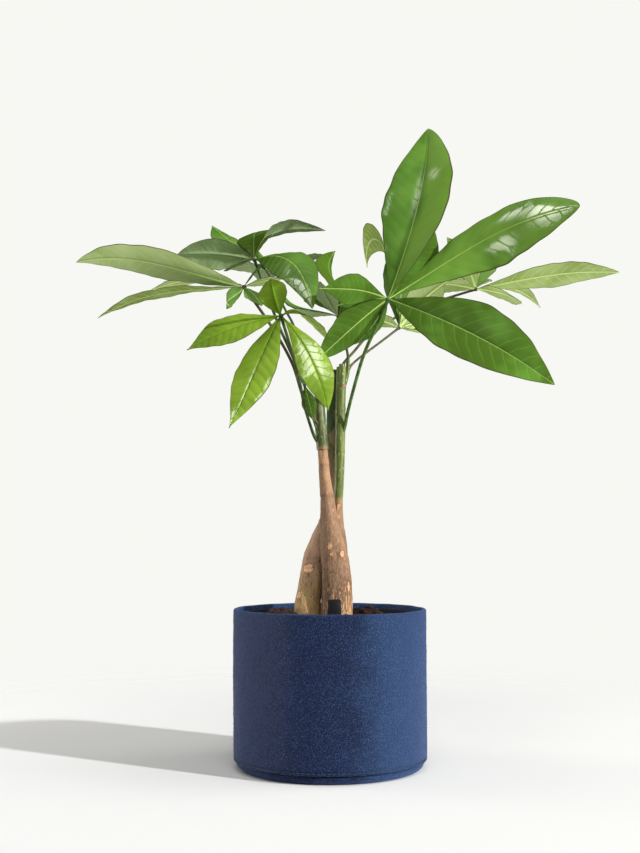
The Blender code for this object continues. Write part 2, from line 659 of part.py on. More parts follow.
def main():
    """Builds the planter, what fills it, and the plant."""
    clear_scene()
    build_felt_wall()
    build_felt_base()
    build_nursery_pot()
    build_soil()
    finish_object(make_label("plant_label", 0.0), LABEL_BLACK)
    build_stem("trunk_left", TRUNK_LEFT, BARK_BROWN, TRUNK_LEFT_SCARS)
    build_stem("trunk_front", TRUNK_FRONT, BARK_BROWN, TRUNK_FRONT_SCARS)
    build_stem("trunk_back", TRUNK_BACK, BARK_BROWN)
    build_stem("stem_right", STEM_RIGHT, STEM_GREEN, STEM_RIGHT_SCARS, (SIDE_SHOOT, CUT_KNOB))
    build_stem("stem_left", STEM_LEFT, STEM_GREEN)
    carriers = {"stem_right": (STEM_RIGHT, SIDE_SHOOT, CUT_KNOB), "stem_left": (STEM_LEFT,)}
    for leaf in LEAVES:
        finish = LEAF_LIME if leaf.name == "leaf_front_left" else LEAF_GREEN
        build_leaf(leaf, carriers[leaf.grows_on], finish)


if __name__ == "__main__":
    main()
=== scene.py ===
"""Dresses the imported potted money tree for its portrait.

The planter, the nursery pot, the soil, the tag, the trunks and every compound leaf are made again in
finer meshes that keep the places and sizes of the solids they stand for, and each surface gets the
finish of the real material. Sizes are in millimetres unless a name says otherwise.
"""

from __future__ import annotations

import logging
import math
import random
from dataclasses import dataclass, field
from enum import Enum
from functools import partial
from typing import Any, Callable, Sequence

import bmesh
import bpy
import numpy as np
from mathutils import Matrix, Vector, noise


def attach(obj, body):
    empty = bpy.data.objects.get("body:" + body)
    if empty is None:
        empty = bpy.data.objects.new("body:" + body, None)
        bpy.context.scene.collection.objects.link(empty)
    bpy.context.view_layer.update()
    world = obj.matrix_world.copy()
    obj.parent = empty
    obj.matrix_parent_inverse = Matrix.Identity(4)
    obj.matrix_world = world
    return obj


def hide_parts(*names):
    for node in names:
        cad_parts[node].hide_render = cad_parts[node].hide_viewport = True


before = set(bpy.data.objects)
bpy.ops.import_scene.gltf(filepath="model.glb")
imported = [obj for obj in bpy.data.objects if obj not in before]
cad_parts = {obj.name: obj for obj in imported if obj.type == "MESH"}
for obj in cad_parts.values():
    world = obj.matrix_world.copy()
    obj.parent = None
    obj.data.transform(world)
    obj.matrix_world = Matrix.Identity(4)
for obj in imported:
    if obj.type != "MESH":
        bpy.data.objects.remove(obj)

LOG = logging.getLogger("money_tree")

MM = 0.001
GAP = 0.3
SEED = 20

# Sizes shared with the part's source
PLANTER_RADIUS = 89.4
PLANTER_HEIGHT = 145.5
FELT_THICKNESS = 4.0
BASE_HEIGHT = 8.0
BASE_INSET = 2.4
BASE_CORNER = 7.0
FELT_RIPPLE = 0.6
LINER_TOP_RADIUS = 82.5
LINER_FOOT_RADIUS = 64.0
LINER_RIM_RADIUS = 84.0
LINER_RIM_DEPTH = 7.0
LINER_TOP = 140.5
LINER_WALL = 1.6
SOIL_TOP = 135.5
SOIL_CLUMP = 1.8
SOIL_FALL = 1.5
ROOT_DEPTH = 92.0
LABEL_WIDTH = 12.2
LABEL_THICKNESS = 0.9
LABEL_TOP = 155.0
LABEL_FOOT = 101.0
LABEL_PLACE = (3.9, -28.6)
BLADE_CURL = 0.12
BLADE_WAVE = 0.9
LEAFLET_STALK = 0.9
HUB_RADIUS = 2.6
HUB_SWELL = 1.6


def linear(code: str) -> tuple[float, float, float, float]:
    """Turns an sRGB hex colour into linear RGBA.

    Args:
        code: the colour as "#rrggbb".

    Returns:
        Red, green, blue and an alpha of one.
    """
    shares = [int(code[place:place + 2], 16) / 255 for place in (1, 3, 5)]
    red, green, blue = (s / 12.92 if s <= 0.04045 else ((s + 0.055) / 1.055) ** 2.4 for s in shares)
    return red, green, blue, 1.0


def per_metre(size_mm: float) -> float:
    """How many features of a size fit in a metre, which is a texture's scale."""
    return 1.0 / (size_mm * MM)


class Kind(Enum):
    """The kinds of shader node in use, each with the setting that it is used with."""

    PLACE = ("TexCoord", {})
    SQUEEZE = ("Mapping", {})
    SPLIT = ("SeparateXYZ", {})
    JOIN = ("CombineXYZ", {})
    ATTRIBUTE = ("Attribute", {})
    NOISE = ("TexNoise", {})
    CELLS = ("TexVoronoi", {})
    WAVES = ("TexWave", {"bands_direction": "DIAGONAL"})
    RAMP = ("ValToRGB", {})
    BLEND = ("Mix", {"data_type": "RGBA"})
    STEP = ("MapRange", {"interpolation_type": "SMOOTHSTEP"})
    LENGTH = ("VectorMath", {"operation": "LENGTH"})
    PLUS = ("Math", {"operation": "ADD"})
    LESS = ("Math", {"operation": "SUBTRACT"})
    TIMES = ("Math", {"operation": "MULTIPLY"})
    TIMES_PLUS = ("Math", {"operation": "MULTIPLY_ADD"})
    LARGER = ("Math", {"operation": "MAXIMUM"})
    UNSIGNED = ("Math", {"operation": "ABSOLUTE"})
    TO_AND_FRO = ("Math", {"operation": "PINGPONG"})
    RELIEF = ("Bump", {})
    BACKGROUND = ("Background", {})
    RAY = ("LightPath", {})
    EITHER = ("MixShader", {})


def feed(socket: bpy.types.NodeSocket, source: Any) -> None:
    """Sets an input to a value or a hex colour, or links it to an output or to a node's first open one.

    Args:
        socket: the input.
        source: the value, colour, output or node.
    """
    if isinstance(source, bpy.types.Node):
        source = next(outlet for outlet in source.outputs if outlet.enabled)
    if isinstance(source, bpy.types.NodeSocket):
        socket.id_data.links.new(source, socket)
    else:
        socket.default_value = linear(source) if isinstance(source, str) else source


def add_node(
    tree: bpy.types.NodeTree, kind: Kind, *sources: Any, stops: Sequence[tuple[float, str]] = (), **named: Any
) -> bpy.types.Node:
    """Adds a shader node with its settings and its links.

    Args:
        tree: the node tree that gets it.
        kind: its type.
        sources: what feeds its open inputs, in their order.
        stops: for a colour ramp, each place with its hex colour.
        named: the node's own properties, and what feeds an input by the input's name.

    Returns:
        The new node.
    """
    type_name, settings = kind.value
    node = tree.nodes.new("ShaderNode" + type_name)
    own = {name: value for name, value in named.items() if hasattr(node, name)}
    for name, value in {**settings, **own}.items():
        setattr(node, name, value)
    for socket, source in zip([socket for socket in node.inputs if socket.enabled], sources):
        feed(socket, source)
    for name in named.keys() - own.keys():
        feed(node.inputs[name], named[name])
    while stops and len(node.color_ramp.elements) < len(stops):
        node.color_ramp.elements.new(1.0)
    for element, (place, tone) in zip(node.color_ramp.elements if stops else (), stops):
        element.position, element.color = place, linear(tone)
    return node


AddNode = Callable[..., bpy.types.Node]


@dataclass(frozen=True)
class Finish:
    """A real material and how its surface was made."""

    name: str
    roughness: float = 0.6
    ior: float = 1.5

    def material(self) -> bpy.types.Material:
        """Makes the material, with uniform values on the shader's own sockets.

        Returns:
            The new material.
        """
        made = bpy.data.materials.new(self.name)
        made.use_nodes = True
        shader = made.node_tree.nodes["Principled BSDF"]
        painted = self.paint(partial(add_node, made.node_tree))
        for name, source in (("Roughness", self.roughness), ("IOR", self.ior), *painted.items()):
            feed(shader.inputs[name], source)
        return made

    def paint(self, add: AddNode) -> dict[str, Any]:
        """Adds the pattern nodes; each finish has its own.

        Args:
            add: adds a node to the material.

        Returns:
            What feeds the shader's sockets, by their names.
        """
        raise NotImplementedError


@dataclass(frozen=True)
class NeedledFelt(Finish):
    """Polyester and wool felt, needle-punched from dyed fibres: matte, finely speckled, with a raised nap.

    Its paler tone is painted light. The x and z ranges are where it begins and is full, to the right and
    up the inner face, and the radius range is where it begins and is full from the outside inwards.
    """

    deep: str = "#0b1119"
    body: str = "#111823"
    light: str = "#1f2c46"
    stray: str = "#8094c8"
    painted_light_tone: str = "#192b40"
    sheen: str = "#5a7cd6"
    glint: str = "#6f93ff"
    clump_mm: float = 24.0
    fibre_mm: float = 1.3
    stray_mm: float = 1.05
    nap_mm: float = 1.8
    painted_light_x: tuple[float, float] = (24.0, 60.0)
    painted_light_z: tuple[float, float] = (110.0, 125.0)
    painted_light_radius: tuple[float, float] = (88.1, 86.8)

    def paint(self, add: AddNode) -> dict[str, Any]:
        """Speckles the dyed fibres, paints light onto the right side and the inner face near the rim,
        scatters stray fibres and raises a fine nap.

        Args:
            add: adds a node to the material.

        Returns:
            What feeds the shader's sockets, by their names.
        """
        where = add(Kind.PLACE).outputs["Object"]
        clump = add(Kind.NOISE, where, Scale=per_metre(self.clump_mm), Detail=4.0)
        fibre = add(
            Kind.NOISE, where, Scale=per_metre(self.fibre_mm), Detail=3.0, Roughness=0.7, Distortion=0.8)
        dyed = add(
            Kind.RAMP, add(Kind.TIMES_PLUS, clump, 0.22, fibre),
            stops=((0.40, self.deep), (0.61, self.body), (0.84, self.light)))
        # Painted light: a paler tone, fixed to the felt, lightens its right side
        place = add(Kind.SPLIT, where)
        side = add(Kind.TIMES_PLUS, clump, 0.024, place.outputs["X"])
        right = add(Kind.STEP, side, *(x * MM for x in self.painted_light_x))
        # The same painted light lightens the inner face near the rim and the cut edge
        reach = add(Kind.LENGTH, add(Kind.JOIN, place.outputs["X"], place.outputs["Y"]))
        inner = add(Kind.STEP, reach, *(radius * MM for radius in self.painted_light_radius))
        upper = add(Kind.STEP, place.outputs["Z"], *(z * MM for z in self.painted_light_z))
        pale = add(Kind.LARGER, right, add(Kind.TIMES, inner, upper))
        dye_and_painted_light = add(Kind.BLEND, pale, dyed, self.painted_light_tone, blend_type="ADD")
        # Stray fibre ends are drawn about 1 mm apart, thicker than real ones, so that they show at this size
        cells = add(Kind.CELLS, where, Scale=per_metre(self.stray_mm), Randomness=1.0)
        # The specks show more under the painted light, so their extra strength is painted light too
        share = add(Kind.TIMES_PLUS, pale, 0.22, 0.45)
        speck = add(Kind.TIMES, add(Kind.STEP, cells, 0.27, 0.16), share)
        height = add(Kind.TIMES_PLUS, speck, 0.5, fibre)
        return {
            "Base Color": add(Kind.BLEND, speck, dye_and_painted_light, self.stray),
            "Normal": add(Kind.RELIEF, Strength=0.9, Distance=self.nap_mm * MM, Height=height),
            "Sheen Weight": 0.6, "Sheen Roughness": 0.22, "Sheen Tint": self.sheen,
            "Specular IOR Level": 0.3, "Specular Tint": self.glint}


@dataclass(frozen=True)
class SpunThread(Finish):
    """Spun polyester sewing thread, twisted from two plies."""

    tone: str = "#141c30"
    ply: str = "#222d4a"
    twist_mm: float = 6.2832

    def paint(self, add: AddNode) -> dict[str, Any]:
        """Draws the twist as slanting bands, much wider than real ones so that they show.

        Args:
            add: adds a node to the material.

        Returns:
            What feeds the shader's sockets, by their names.
        """
        # The wave node turns 10 radians along each axis in a unit of its scale
        scale = math.tau / 10 * per_metre(self.twist_mm)
        turns = add(Kind.WAVES, add(Kind.PLACE).outputs["Object"], Scale=scale, Distortion=1.0)
        return {"Base Color": add(Kind.BLEND, turns.outputs["Fac"], self.tone, self.ply)}


@dataclass(frozen=True)
class MouldedPolypropylene(Finish):
    """Polypropylene, injection-moulded: even black with a faint drag of the mould and some dust."""

    tone: str = "#141414"
    dust: str = "#3a332c"
    dust_mm: float = 6.0
    drag_mm: float = 0.3

    def paint(self, add: AddNode) -> dict[str, Any]:
        """Adds dust and an uneven gloss.

        Args:
            add: adds a node to the material.

        Returns:
            What feeds the shader's sockets, by their names.
        """
        patch = add(Kind.NOISE, add(Kind.PLACE).outputs["Object"], Scale=per_metre(self.dust_mm), Detail=6.0)
        share = add(Kind.STEP, patch, 0.52, 0.75)
        return {
            "Base Color": add(Kind.BLEND, share, self.tone, self.dust),
            "Roughness": add(Kind.TIMES_PLUS, share, 0.35, self.roughness),
            "Normal": add(Kind.RELIEF, Strength=0.12, Distance=self.drag_mm * MM, Height=patch),
            "Specular IOR Level": 0.12}


@dataclass(frozen=True)
class PottingSoil(Finish):
    """Moist potting soil of peat and coir: matte red-brown crumbs, with painted shade that makes the hollows
    nearly black.
    """

    hollow_painted_shade: str = "#120c0a"
    crumb: str = "#2a140d"
    dry: str = "#5a2f22"
    crumb_mm: float = 3.5
    grit_mm: float = 2.0

    def paint(self, add: AddNode) -> dict[str, Any]:
        """Colours the crumbs and roughens them.

        Args:
            add: adds a node to the material.

        Returns:
            What feeds the shader's sockets, by their names.
        """
        where = add(Kind.PLACE).outputs["Object"]
        lump = add(Kind.NOISE, where, Scale=per_metre(self.crumb_mm), Detail=8.0, Roughness=0.7)
        # The colour follows the relief, so the hollows get painted shade, near black
        stops = ((0.36, self.hollow_painted_shade), (0.52, self.crumb), (0.72, self.dry))
        return {
            "Base Color": add(Kind.RAMP, lump, stops=stops),
            "Normal": add(Kind.RELIEF, Strength=0.9, Distance=self.grit_mm * MM, Height=lump),
            "Specular IOR Level": 0.25}


@dataclass(frozen=True)
class TrunkBark(Finish):
    """Living bark of a young money tree: thin and corky, smooth above and pitted near the soil.

    The attribute fresh_wood is 1 in the middle of a healed cut and 0.5 at its rim, and crease is 1
    where an old leaf ring runs round the trunk.
    """

    low: str = "#6c523d"
    middle: str = "#82654e"
    high: str = "#a37f60"
    dark_patch_tone: str = "#5f4632"
    worn: str = "#ad8d70"
    crack: str = "#3c2718"
    fleck: str = "#d2a075"
    fresh: str = "#c79d76"
    moss: str = "#6f6a3c"
    moss_share: float = 0.25
    healing: str = "#b9794a"
    callus: str = "#54341f"
    olive_top_and_painted_shade: str = "#2f4b20"
    dark_z: float = 0.0
    grain_mm: float = 1.1
    patch_mm: float = 11.0
    pit_mm: float = 1.9
    fleck_mm: float = 1.25
    cut_mm: float = 2.6
    cork_mm: float = 1.3
    low_z: float = 150.0
    middle_z: float = 195.0
    high_z: float = 285.0

    def paint(self, add: AddNode) -> dict[str, Any]:
        """Grades the bark from grey-brown to tan, then adds pits, flecks, healed cuts and leaf rings.

        Args:
            add: adds a node to the material.

        Returns:
            What feeds the shader's sockets, by their names.
        """
        where = add(Kind.PLACE).outputs["Object"]
        height = add(Kind.SPLIT, where).outputs["Z"]
        rise = add(Kind.STEP, height, self.low_z * MM, (self.middle_z + 40) * MM)
        lower = add(Kind.STEP, height, self.low_z * MM, self.middle_z * MM)
        upper = add(Kind.STEP, height, (self.high_z - 50) * MM, self.high_z * MM)
        base = add(Kind.BLEND, upper, add(Kind.BLEND, lower, self.low, self.middle), self.high)
        # Darker patches at random, with moss on the paler ones near the soil
        tall = add(Kind.SQUEEZE, where, Scale=(1.0, 1.0, 0.5))
        patch = add(Kind.NOISE, tall, Scale=per_metre(self.patch_mm), Detail=5.0)
        base = add(Kind.BLEND, add(Kind.TIMES, add(Kind.STEP, patch, 0.56, 0.36), 0.30), base, self.dark_patch_tone)
        foot = add(Kind.STEP, height, 0.180, 0.150)
        cover = add(Kind.TIMES, add(Kind.STEP, patch, 0.44, 0.60), self.moss_share)
        base = add(Kind.BLEND, add(Kind.TIMES, cover, foot), base, self.moss)
        # Grain that runs up the trunk: dark cracks, which fade upwards, and pale worn ridges
        drawn = add(Kind.SQUEEZE, where, Scale=(1.0, 1.0, 0.24))
        grain = add(
            Kind.NOISE, drawn, Scale=per_metre(self.grain_mm), Detail=4.0, Roughness=0.62, Distortion=0.4)
        rough = add(Kind.TIMES_PLUS, rise, -0.62, 1.0)
        lines = add(Kind.TIMES, add(Kind.STEP, grain, 0.48, 0.36), 0.55)
        base = add(Kind.BLEND, add(Kind.TIMES, lines, rough), base, self.crack)
        base = add(Kind.BLEND, add(Kind.TIMES, add(Kind.STEP, grain, 0.54, 0.64), 0.42), base, self.worn)
        # Pits on the lower half, and orange flecks that crowd towards the soil
        dots = add(
            Kind.CELLS, add(Kind.SQUEEZE, where, Scale=(1.0, 1.0, 0.30)), Scale=per_metre(self.pit_mm))
        pits = add(Kind.TIMES, add(Kind.STEP, dots, 0.30, 0.15), add(Kind.STEP, patch, 0.60, 0.42))
        pits = add(Kind.TIMES, pits, add(Kind.STEP, height, 0.225, 0.180))
        base = add(Kind.BLEND, add(Kind.TIMES, pits, 0.8), base, self.crack)
        slim = add(Kind.SQUEEZE, where, Scale=(1.0, 1.0, 0.22))
        streaks = add(Kind.NOISE, slim, Scale=per_metre(self.fleck_mm), Detail=3.0)
        soilward = add(Kind.TIMES_PLUS, add(Kind.STEP, height, 0.172, 0.146), 0.16, streaks)
        orange = add(Kind.TIMES, add(Kind.STEP, soilward, 0.645, 0.69), 0.62)
        base = add(Kind.BLEND, orange, base, self.fleck)
        # Above dark_z the bark turns dark olive in patches: partly its own green, partly painted shade
        if self.dark_z:
            above = add(Kind.STEP, height, (self.dark_z - 95) * MM, self.dark_z * MM)
            olive_top_share = add(Kind.TIMES_PLUS, add(Kind.STEP, patch, 0.50, 0.60), -0.35, 0.94)
            base = add(Kind.BLEND, add(Kind.TIMES, above, olive_top_share), base, self.olive_top_and_painted_shade)
        # Healed cuts with a ragged dark rim, then the leaf rings
        cut = add(Kind.ATTRIBUTE, attribute_name="fresh_wood").outputs["Fac"]
        mottle = add(Kind.NOISE, where, Scale=per_metre(self.cut_mm), Detail=3.0)
        ragged = add(Kind.TIMES_PLUS, mottle, 0.7, add(Kind.LESS, cut, 0.35))
        healed = add(Kind.STEP, ragged, 0.50, 0.58)
        inside = add(Kind.BLEND, add(Kind.STEP, mottle, 0.36, 0.56), self.healing, self.fresh)
        rim = add(Kind.TIMES, add(Kind.STEP, ragged, 0.32, 0.50), 0.6)
        base = add(Kind.BLEND, healed, add(Kind.BLEND, rim, base, self.callus), inside)
        crease = add(Kind.ATTRIBUTE, attribute_name="crease").outputs["Fac"]
        base = add(Kind.BLEND, add(Kind.TIMES, crease, 0.28), base, self.crack)
        relief = add(Kind.TIMES_PLUS, pits, -0.6, add(Kind.TIMES, grain, rough))
        relief = add(Kind.TIMES_PLUS, healed, 0.3, relief)
        return {
            "Base Color": base,
            "Normal": add(Kind.RELIEF, Strength=0.8, Distance=self.cork_mm * MM, Height=relief),
            "Specular IOR Level": 0.25}


@dataclass(frozen=True)
class CutWood(Finish):
    """A flat pruning cut, weathered dark over pale pith."""

    tone: str = "#3b2b1d"
    pith: str = "#8a6b48"
    stain_mm: float = 1.4

    def paint(self, add: AddNode) -> dict[str, Any]:
        """Stains the cut unevenly.

        Args:
            add: adds a node to the material.

        Returns:
            What feeds the shader's sockets, by their names.
        """
        stain = add(Kind.NOISE, add(Kind.PLACE).outputs["Object"], Scale=per_metre(self.stain_mm), Detail=5.0)
        return {"Base Color": add(Kind.BLEND, add(Kind.STEP, stain, 0.50, 0.66), self.tone, self.pith)}


@dataclass(frozen=True)
class YoungBark(Finish):
    """Green bark of this year's growth: smooth and satiny, with pale upright lenticels."""

    shade: str = "#34421a"
    body: str = "#515f2b"
    lit: str = "#6f7e3c"
    lenticel: str = "#a9ad6c"
    brown: str = "#8c6b48"
    scar: str = "#7f4a32"
    streak_mm: float = 2.4
    crowd_mm: float = 9.0
    lenticel_mm: float = 2.6
    relief_mm: float = 0.6
    brown_z: float = 0.0

    def paint(self, add: AddNode) -> dict[str, Any]:
        """Streaks the green, scatters lenticels and browns the foot of the stem.

        Args:
            add: adds a node to the material.

        Returns:
            What feeds the shader's sockets, by their names.
        """
        where = add(Kind.PLACE).outputs["Object"]
        slim = add(Kind.SQUEEZE, where, Scale=(1.0, 1.0, 0.12))
        streak = add(Kind.NOISE, slim, Scale=per_metre(self.streak_mm), Detail=5.0, Roughness=0.6)
        base = add(Kind.RAMP, streak, stops=((0.32, self.shade), (0.50, self.body), (0.70, self.lit)))
        dots = add(
            Kind.CELLS, add(Kind.SQUEEZE, where, Scale=(1.0, 1.0, 0.42)), Scale=per_metre(self.lenticel_mm))
        crowd = add(Kind.NOISE, where, Scale=per_metre(self.crowd_mm), Detail=2.0)
        flecks = add(Kind.TIMES, add(Kind.STEP, dots, 0.25, 0.13), add(Kind.STEP, crowd, 0.46, 0.58))
        base = add(Kind.BLEND, add(Kind.TIMES, flecks, 0.8), base, self.lenticel)
        ragged = add(Kind.TIMES_PLUS, streak, 0.020, add(Kind.SPLIT, where).outputs["Z"])
        foot = add(Kind.STEP, ragged, (self.brown_z + 14.0) * MM, (self.brown_z + 9.0) * MM)
        base = add(Kind.BLEND, foot, base, self.brown)
        cut = add(Kind.ATTRIBUTE, attribute_name="fresh_wood").outputs["Fac"]
        relief = add(Kind.PLUS, streak, flecks)
        return {
            "Base Color": add(Kind.BLEND, add(Kind.STEP, cut, 0.35, 0.65), base, self.scar),
            "Normal": add(Kind.RELIEF, Strength=0.35, Distance=self.relief_mm * MM, Height=relief),
            "Specular IOR Level": 0.3}


@dataclass(frozen=True)
class LeafSkin(Finish):
    """The waxy skin of a leaf, with its midrib, side veins and the net between them.

    The blade's own attributes say where a point lies: vein_place counts the side veins from the hub,
    blade_mm holds the distances across and along it, and blade_share the same as shares.
    """

    shade: str = "#3d581b"
    body: str = "#56812f"
    lit: str = "#719a3c"
    rib: str = "#a3bf6a"
    vein: str = "#7ba346"
    margin: str = "#3d3826"
    rib_width: float = 0.55
    vein_width: float = 0.040
    vein_strength: float = 0.14
    wander_mm: float = 11.0
    cloud_mm: float = 34.0
    relief_mm: float = 0.14
    raised: bool = False
    gloss: float = 0.012
    hub_shade: float = 0.55

    def paint(self, add: AddNode) -> dict[str, Any]:
        """Draws the veins, grades the green from hub to tip and puckers the skin.

        Args:
            add: adds a node to the material.

        Returns:
            What feeds the shader's sockets, by their names.
        """
        spot = add(Kind.ATTRIBUTE, attribute_name="blade_mm").outputs["Vector"]
        shares = add(Kind.SPLIT, add(Kind.ATTRIBUTE, attribute_name="blade_share").outputs["Vector"])
        place = add(Kind.ATTRIBUTE, attribute_name="vein_place").outputs["Fac"]
        waxed = add(Kind.ATTRIBUTE, attribute_name="wax").outputs["Fac"]
        across_mm = add(Kind.UNSIGNED, add(Kind.SPLIT, spot).outputs["X"])
        edge = add(Kind.UNSIGNED, shares.outputs["X"])
        along, tint_with_painted_light = shares.outputs["Y"], shares.outputs["Z"]
        wander = add(Kind.NOISE, spot, Scale=1 / self.wander_mm, Detail=2.0)
        cloud = add(Kind.NOISE, spot, Scale=1 / self.cloud_mm, Detail=2.0)
        # Each leaflet's tint, partly its own green and partly painted light and shade, moves its tone along
        # the ramp
        tone = add(Kind.TIMES_PLUS, cloud, 0.6, add(Kind.PLUS, tint_with_painted_light, 0.2))
        base = add(Kind.RAMP, tone, stops=((0.25, self.shade), (0.50, self.body), (0.75, self.lit)))
        near_hub = add(Kind.TIMES, add(Kind.STEP, along, 0.34, 0.0), self.hub_shade)
        base = add(Kind.BLEND, near_hub, base, self.shade)
        # Side veins: their number runs along the blade, so each whole number is a vein
        beside = add(Kind.TO_AND_FRO, add(Kind.TIMES_PLUS, wander, 0.38, place), 0.5)
        veins = add(Kind.STEP, beside, 2.2 * self.vein_width, 0.4 * self.vein_width)
        veins = add(Kind.TIMES, veins, add(Kind.STEP, edge, 0.97, 0.60))
        base = add(Kind.BLEND, add(Kind.TIMES, veins, self.vein_strength), base, self.vein)
        thinning = add(Kind.TIMES, across_mm, add(Kind.TIMES_PLUS, along, 0.9, 0.75))
        ribs = add(Kind.STEP, thinning, 1.3 * self.rib_width, 0.7 * self.rib_width)
        if self.raised:
            # Painted shade darkens the skin along both sides of the raised midrib
            painted_rib_shade = add(Kind.STEP, across_mm, 2.6 * self.rib_width, 1.2 * self.rib_width)
            base = add(Kind.BLEND, add(Kind.TIMES, painted_rib_shade, 0.45), base, self.shade)
        base = add(Kind.BLEND, add(Kind.TIMES, ribs, add(Kind.STEP, tint_with_painted_light, -0.5, 0.0)), base, self.rib)
        line = add(Kind.TIMES, add(Kind.STEP, edge, 0.945, 0.985), 0.85)
        base = add(Kind.BLEND, line, base, self.margin)
        # Between its side veins the skin swells into soft cushions
        pillow = add(Kind.TIMES, add(Kind.STEP, beside, 0.0, 0.42), -1.0 if self.raised else 1.0)
        pucker = add(Kind.TIMES_PLUS, cloud, 1.2, pillow)
        pucker = add(Kind.TIMES_PLUS, ribs, 1.5 if self.raised else -0.3, pucker)
        # Wax lies thickest where the attribute says, and thin over the veins and the loops that join them,
        # which draws them as a dark net
        loop = add(Kind.TIMES_PLUS, beside, -0.46, add(Kind.TIMES_PLUS, wander, -0.3, edge))
        loop = add(Kind.UNSIGNED, add(Kind.LESS, loop, 0.42))
        lines = add(Kind.LARGER, add(Kind.STEP, beside, 0.090, 0.050), ribs)
        lines = add(Kind.LARGER, lines, add(Kind.STEP, loop, 0.06, 0.03))
        wax = add(Kind.TIMES, waxed, add(Kind.TIMES_PLUS, lines, -0.95, 1.0))
        wax = add(Kind.TIMES, wax, add(Kind.TIMES_PLUS, wander, 0.9, 0.55))
        return {
            "Base Color": base,
            "Normal": add(Kind.RELIEF, Strength=0.6, Distance=self.relief_mm * MM, Height=pucker),
            "Coat Weight": add(Kind.PLUS, wax, self.gloss), "Coat Roughness": 0.09, "Coat IOR": 1.6,
            "Specular IOR Level": 0.0}


@dataclass(frozen=True)
class StalkSkin(Finish):
    """Skin of a leaf stalk: smooth and faintly satiny, softly mottled."""

    shade: str = "#37501f"
    body: str = "#567531"
    mottle_mm: float = 5.0

    def paint(self, add: AddNode) -> dict[str, Any]:
        """Mottles the stalk lightly.

        Args:
            add: adds a node to the material.

        Returns:
            What feeds the shader's sockets, by their names.
        """
        where = add(Kind.PLACE).outputs["Object"]
        mottle = add(Kind.NOISE, where, Scale=per_metre(self.mottle_mm), Detail=4.0)
        share = add(Kind.STEP, mottle, 0.35, 0.65)
        return {"Base Color": add(Kind.BLEND, share, self.shade, self.body), "Specular IOR Level": 0.2}


@dataclass(frozen=True)
class PaperSweep(Finish):
    """White studio paper, rolled out under the plant until it fades into the white room."""

    tone: str = "#d3d4d4"
    tooth_tone: str = "#cbcdce"
    tooth_mm: float = 3.0
    fade_start: float = 0.34
    fade_end: float = 0.95

    def paint(self, add: AddNode) -> dict[str, Any]:
        """Gives the paper its barely visible tooth and fades its far edge out.

        Args:
            add: adds a node to the material.

        Returns:
            What feeds the shader's sockets, by their names.
        """
        where = add(Kind.PLACE).outputs["Object"]
        tooth = add(Kind.NOISE, where, Scale=per_metre(self.tooth_mm), Detail=2.0)
        return {
            "Base Color": add(Kind.BLEND, add(Kind.TIMES, tooth, 0.05), self.tone, self.tooth_tone),
            "Alpha": add(Kind.STEP, add(Kind.LENGTH, where), self.fade_end, self.fade_start),
            "Specular IOR Level": 0.0}


@dataclass
class Surface:
    """A mesh while it is being made: points in millimetres, faces, their finishes and point values."""

    points: list[Any] = field(default_factory=list)
    faces: list[tuple[int, ...]] = field(default_factory=list)
    finish: list[int] = field(default_factory=list)
    values: dict[str, list[Any]] = field(default_factory=dict)

    def add(
        self, points: Sequence[Any], faces: Sequence[tuple[int, ...]], finish: int = 0,
        **values: Sequence[Any],
    ) -> None:
        """Adds points and the faces between them.

        Args:
            points: new points in millimetres.
            faces: faces that count from the first new point.
            finish: which of the piece's finishes the faces take.
            values: for each attribute, one value per new point.
        """
        start = len(self.points)
        self.points.extend(points)
        self.faces.extend(tuple(start + corner for corner in face) for face in faces)
        self.finish.extend([finish] * len(faces))
        for name, given in values.items():
            kept = self.values.setdefault(name, [])
            kept.extend([self.blank(given)] * (start - len(kept)))
            kept.extend(given)

    @classmethod
    def made_of(cls, points: Sequence[Any], faces: Sequence[tuple[int, ...]]) -> Surface:
        """A surface of these points and faces, all in one finish.

        Args:
            points: its points in millimetres.
            faces: its faces, which count from the first point.

        Returns:
            The new surface.
        """
        made = cls()
        made.add(points, faces)
        return made

    @staticmethod
    def blank(given: Sequence[Any]) -> Any:
        """The zero of an attribute's kind."""
        return 0.0 if np.ndim(given[0]) == 0 else (0.0, 0.0, 0.0)

    def build(
        self, name: str, finishes: Sequence[bpy.types.Material], sharp_angle: float = 50.0
    ) -> bpy.types.Object:
        """Turns the surface into an object with smooth shading.

        Args:
            name: the piece's name.
            finishes: its materials, in the order that the faces count them.
            sharp_angle: edges that turn by more than this stay sharp, in degrees.

        Returns:
            The new object, in the scene.
        """
        mesh = bpy.data.meshes.new(name)
        mesh.from_pydata((np.array(self.points, float) * MM).tolist(), [], self.faces)
        for material in finishes:
            mesh.materials.append(material)
        mesh.polygons.foreach_set("material_index", self.finish)
        for key, given in self.values.items():
            given = given + [self.blank(given)] * (len(self.points) - len(given))
            flat = np.array(given, np.float32)
            kind = "FLOAT" if flat.ndim == 1 else "FLOAT_VECTOR"
            slot = mesh.attributes.new(key, kind, "POINT")
            slot.data.foreach_set("value" if flat.ndim == 1 else "vector", flat.ravel())
        mesh.validate()
        mesh.shade_smooth()
        mesh.set_sharp_from_angle(angle=math.radians(sharp_angle))
        item = bpy.data.objects.new(name, mesh)
        bpy.context.scene.collection.objects.link(item)
        return item


def unit(vector: np.ndarray) -> np.ndarray:
    """The vector, or each row of vectors, at length one."""
    return vector / np.linalg.norm(vector, axis=-1, keepdims=True)


def turned(vector: np.ndarray, axis: np.ndarray, angle: float) -> np.ndarray:
    """Turns a vector about a unit axis by an angle in radians."""
    kept = axis * axis.dot(vector)
    return kept + (vector - kept) * math.cos(angle) + np.cross(axis, vector) * math.sin(angle)


def ripple_noise(point: Sequence[float], size_mm: float) -> float:
    """Smooth noise from -1 to 1 with features of a size, read at a point in millimetres."""
    return noise.noise(Vector(point) / size_mm)


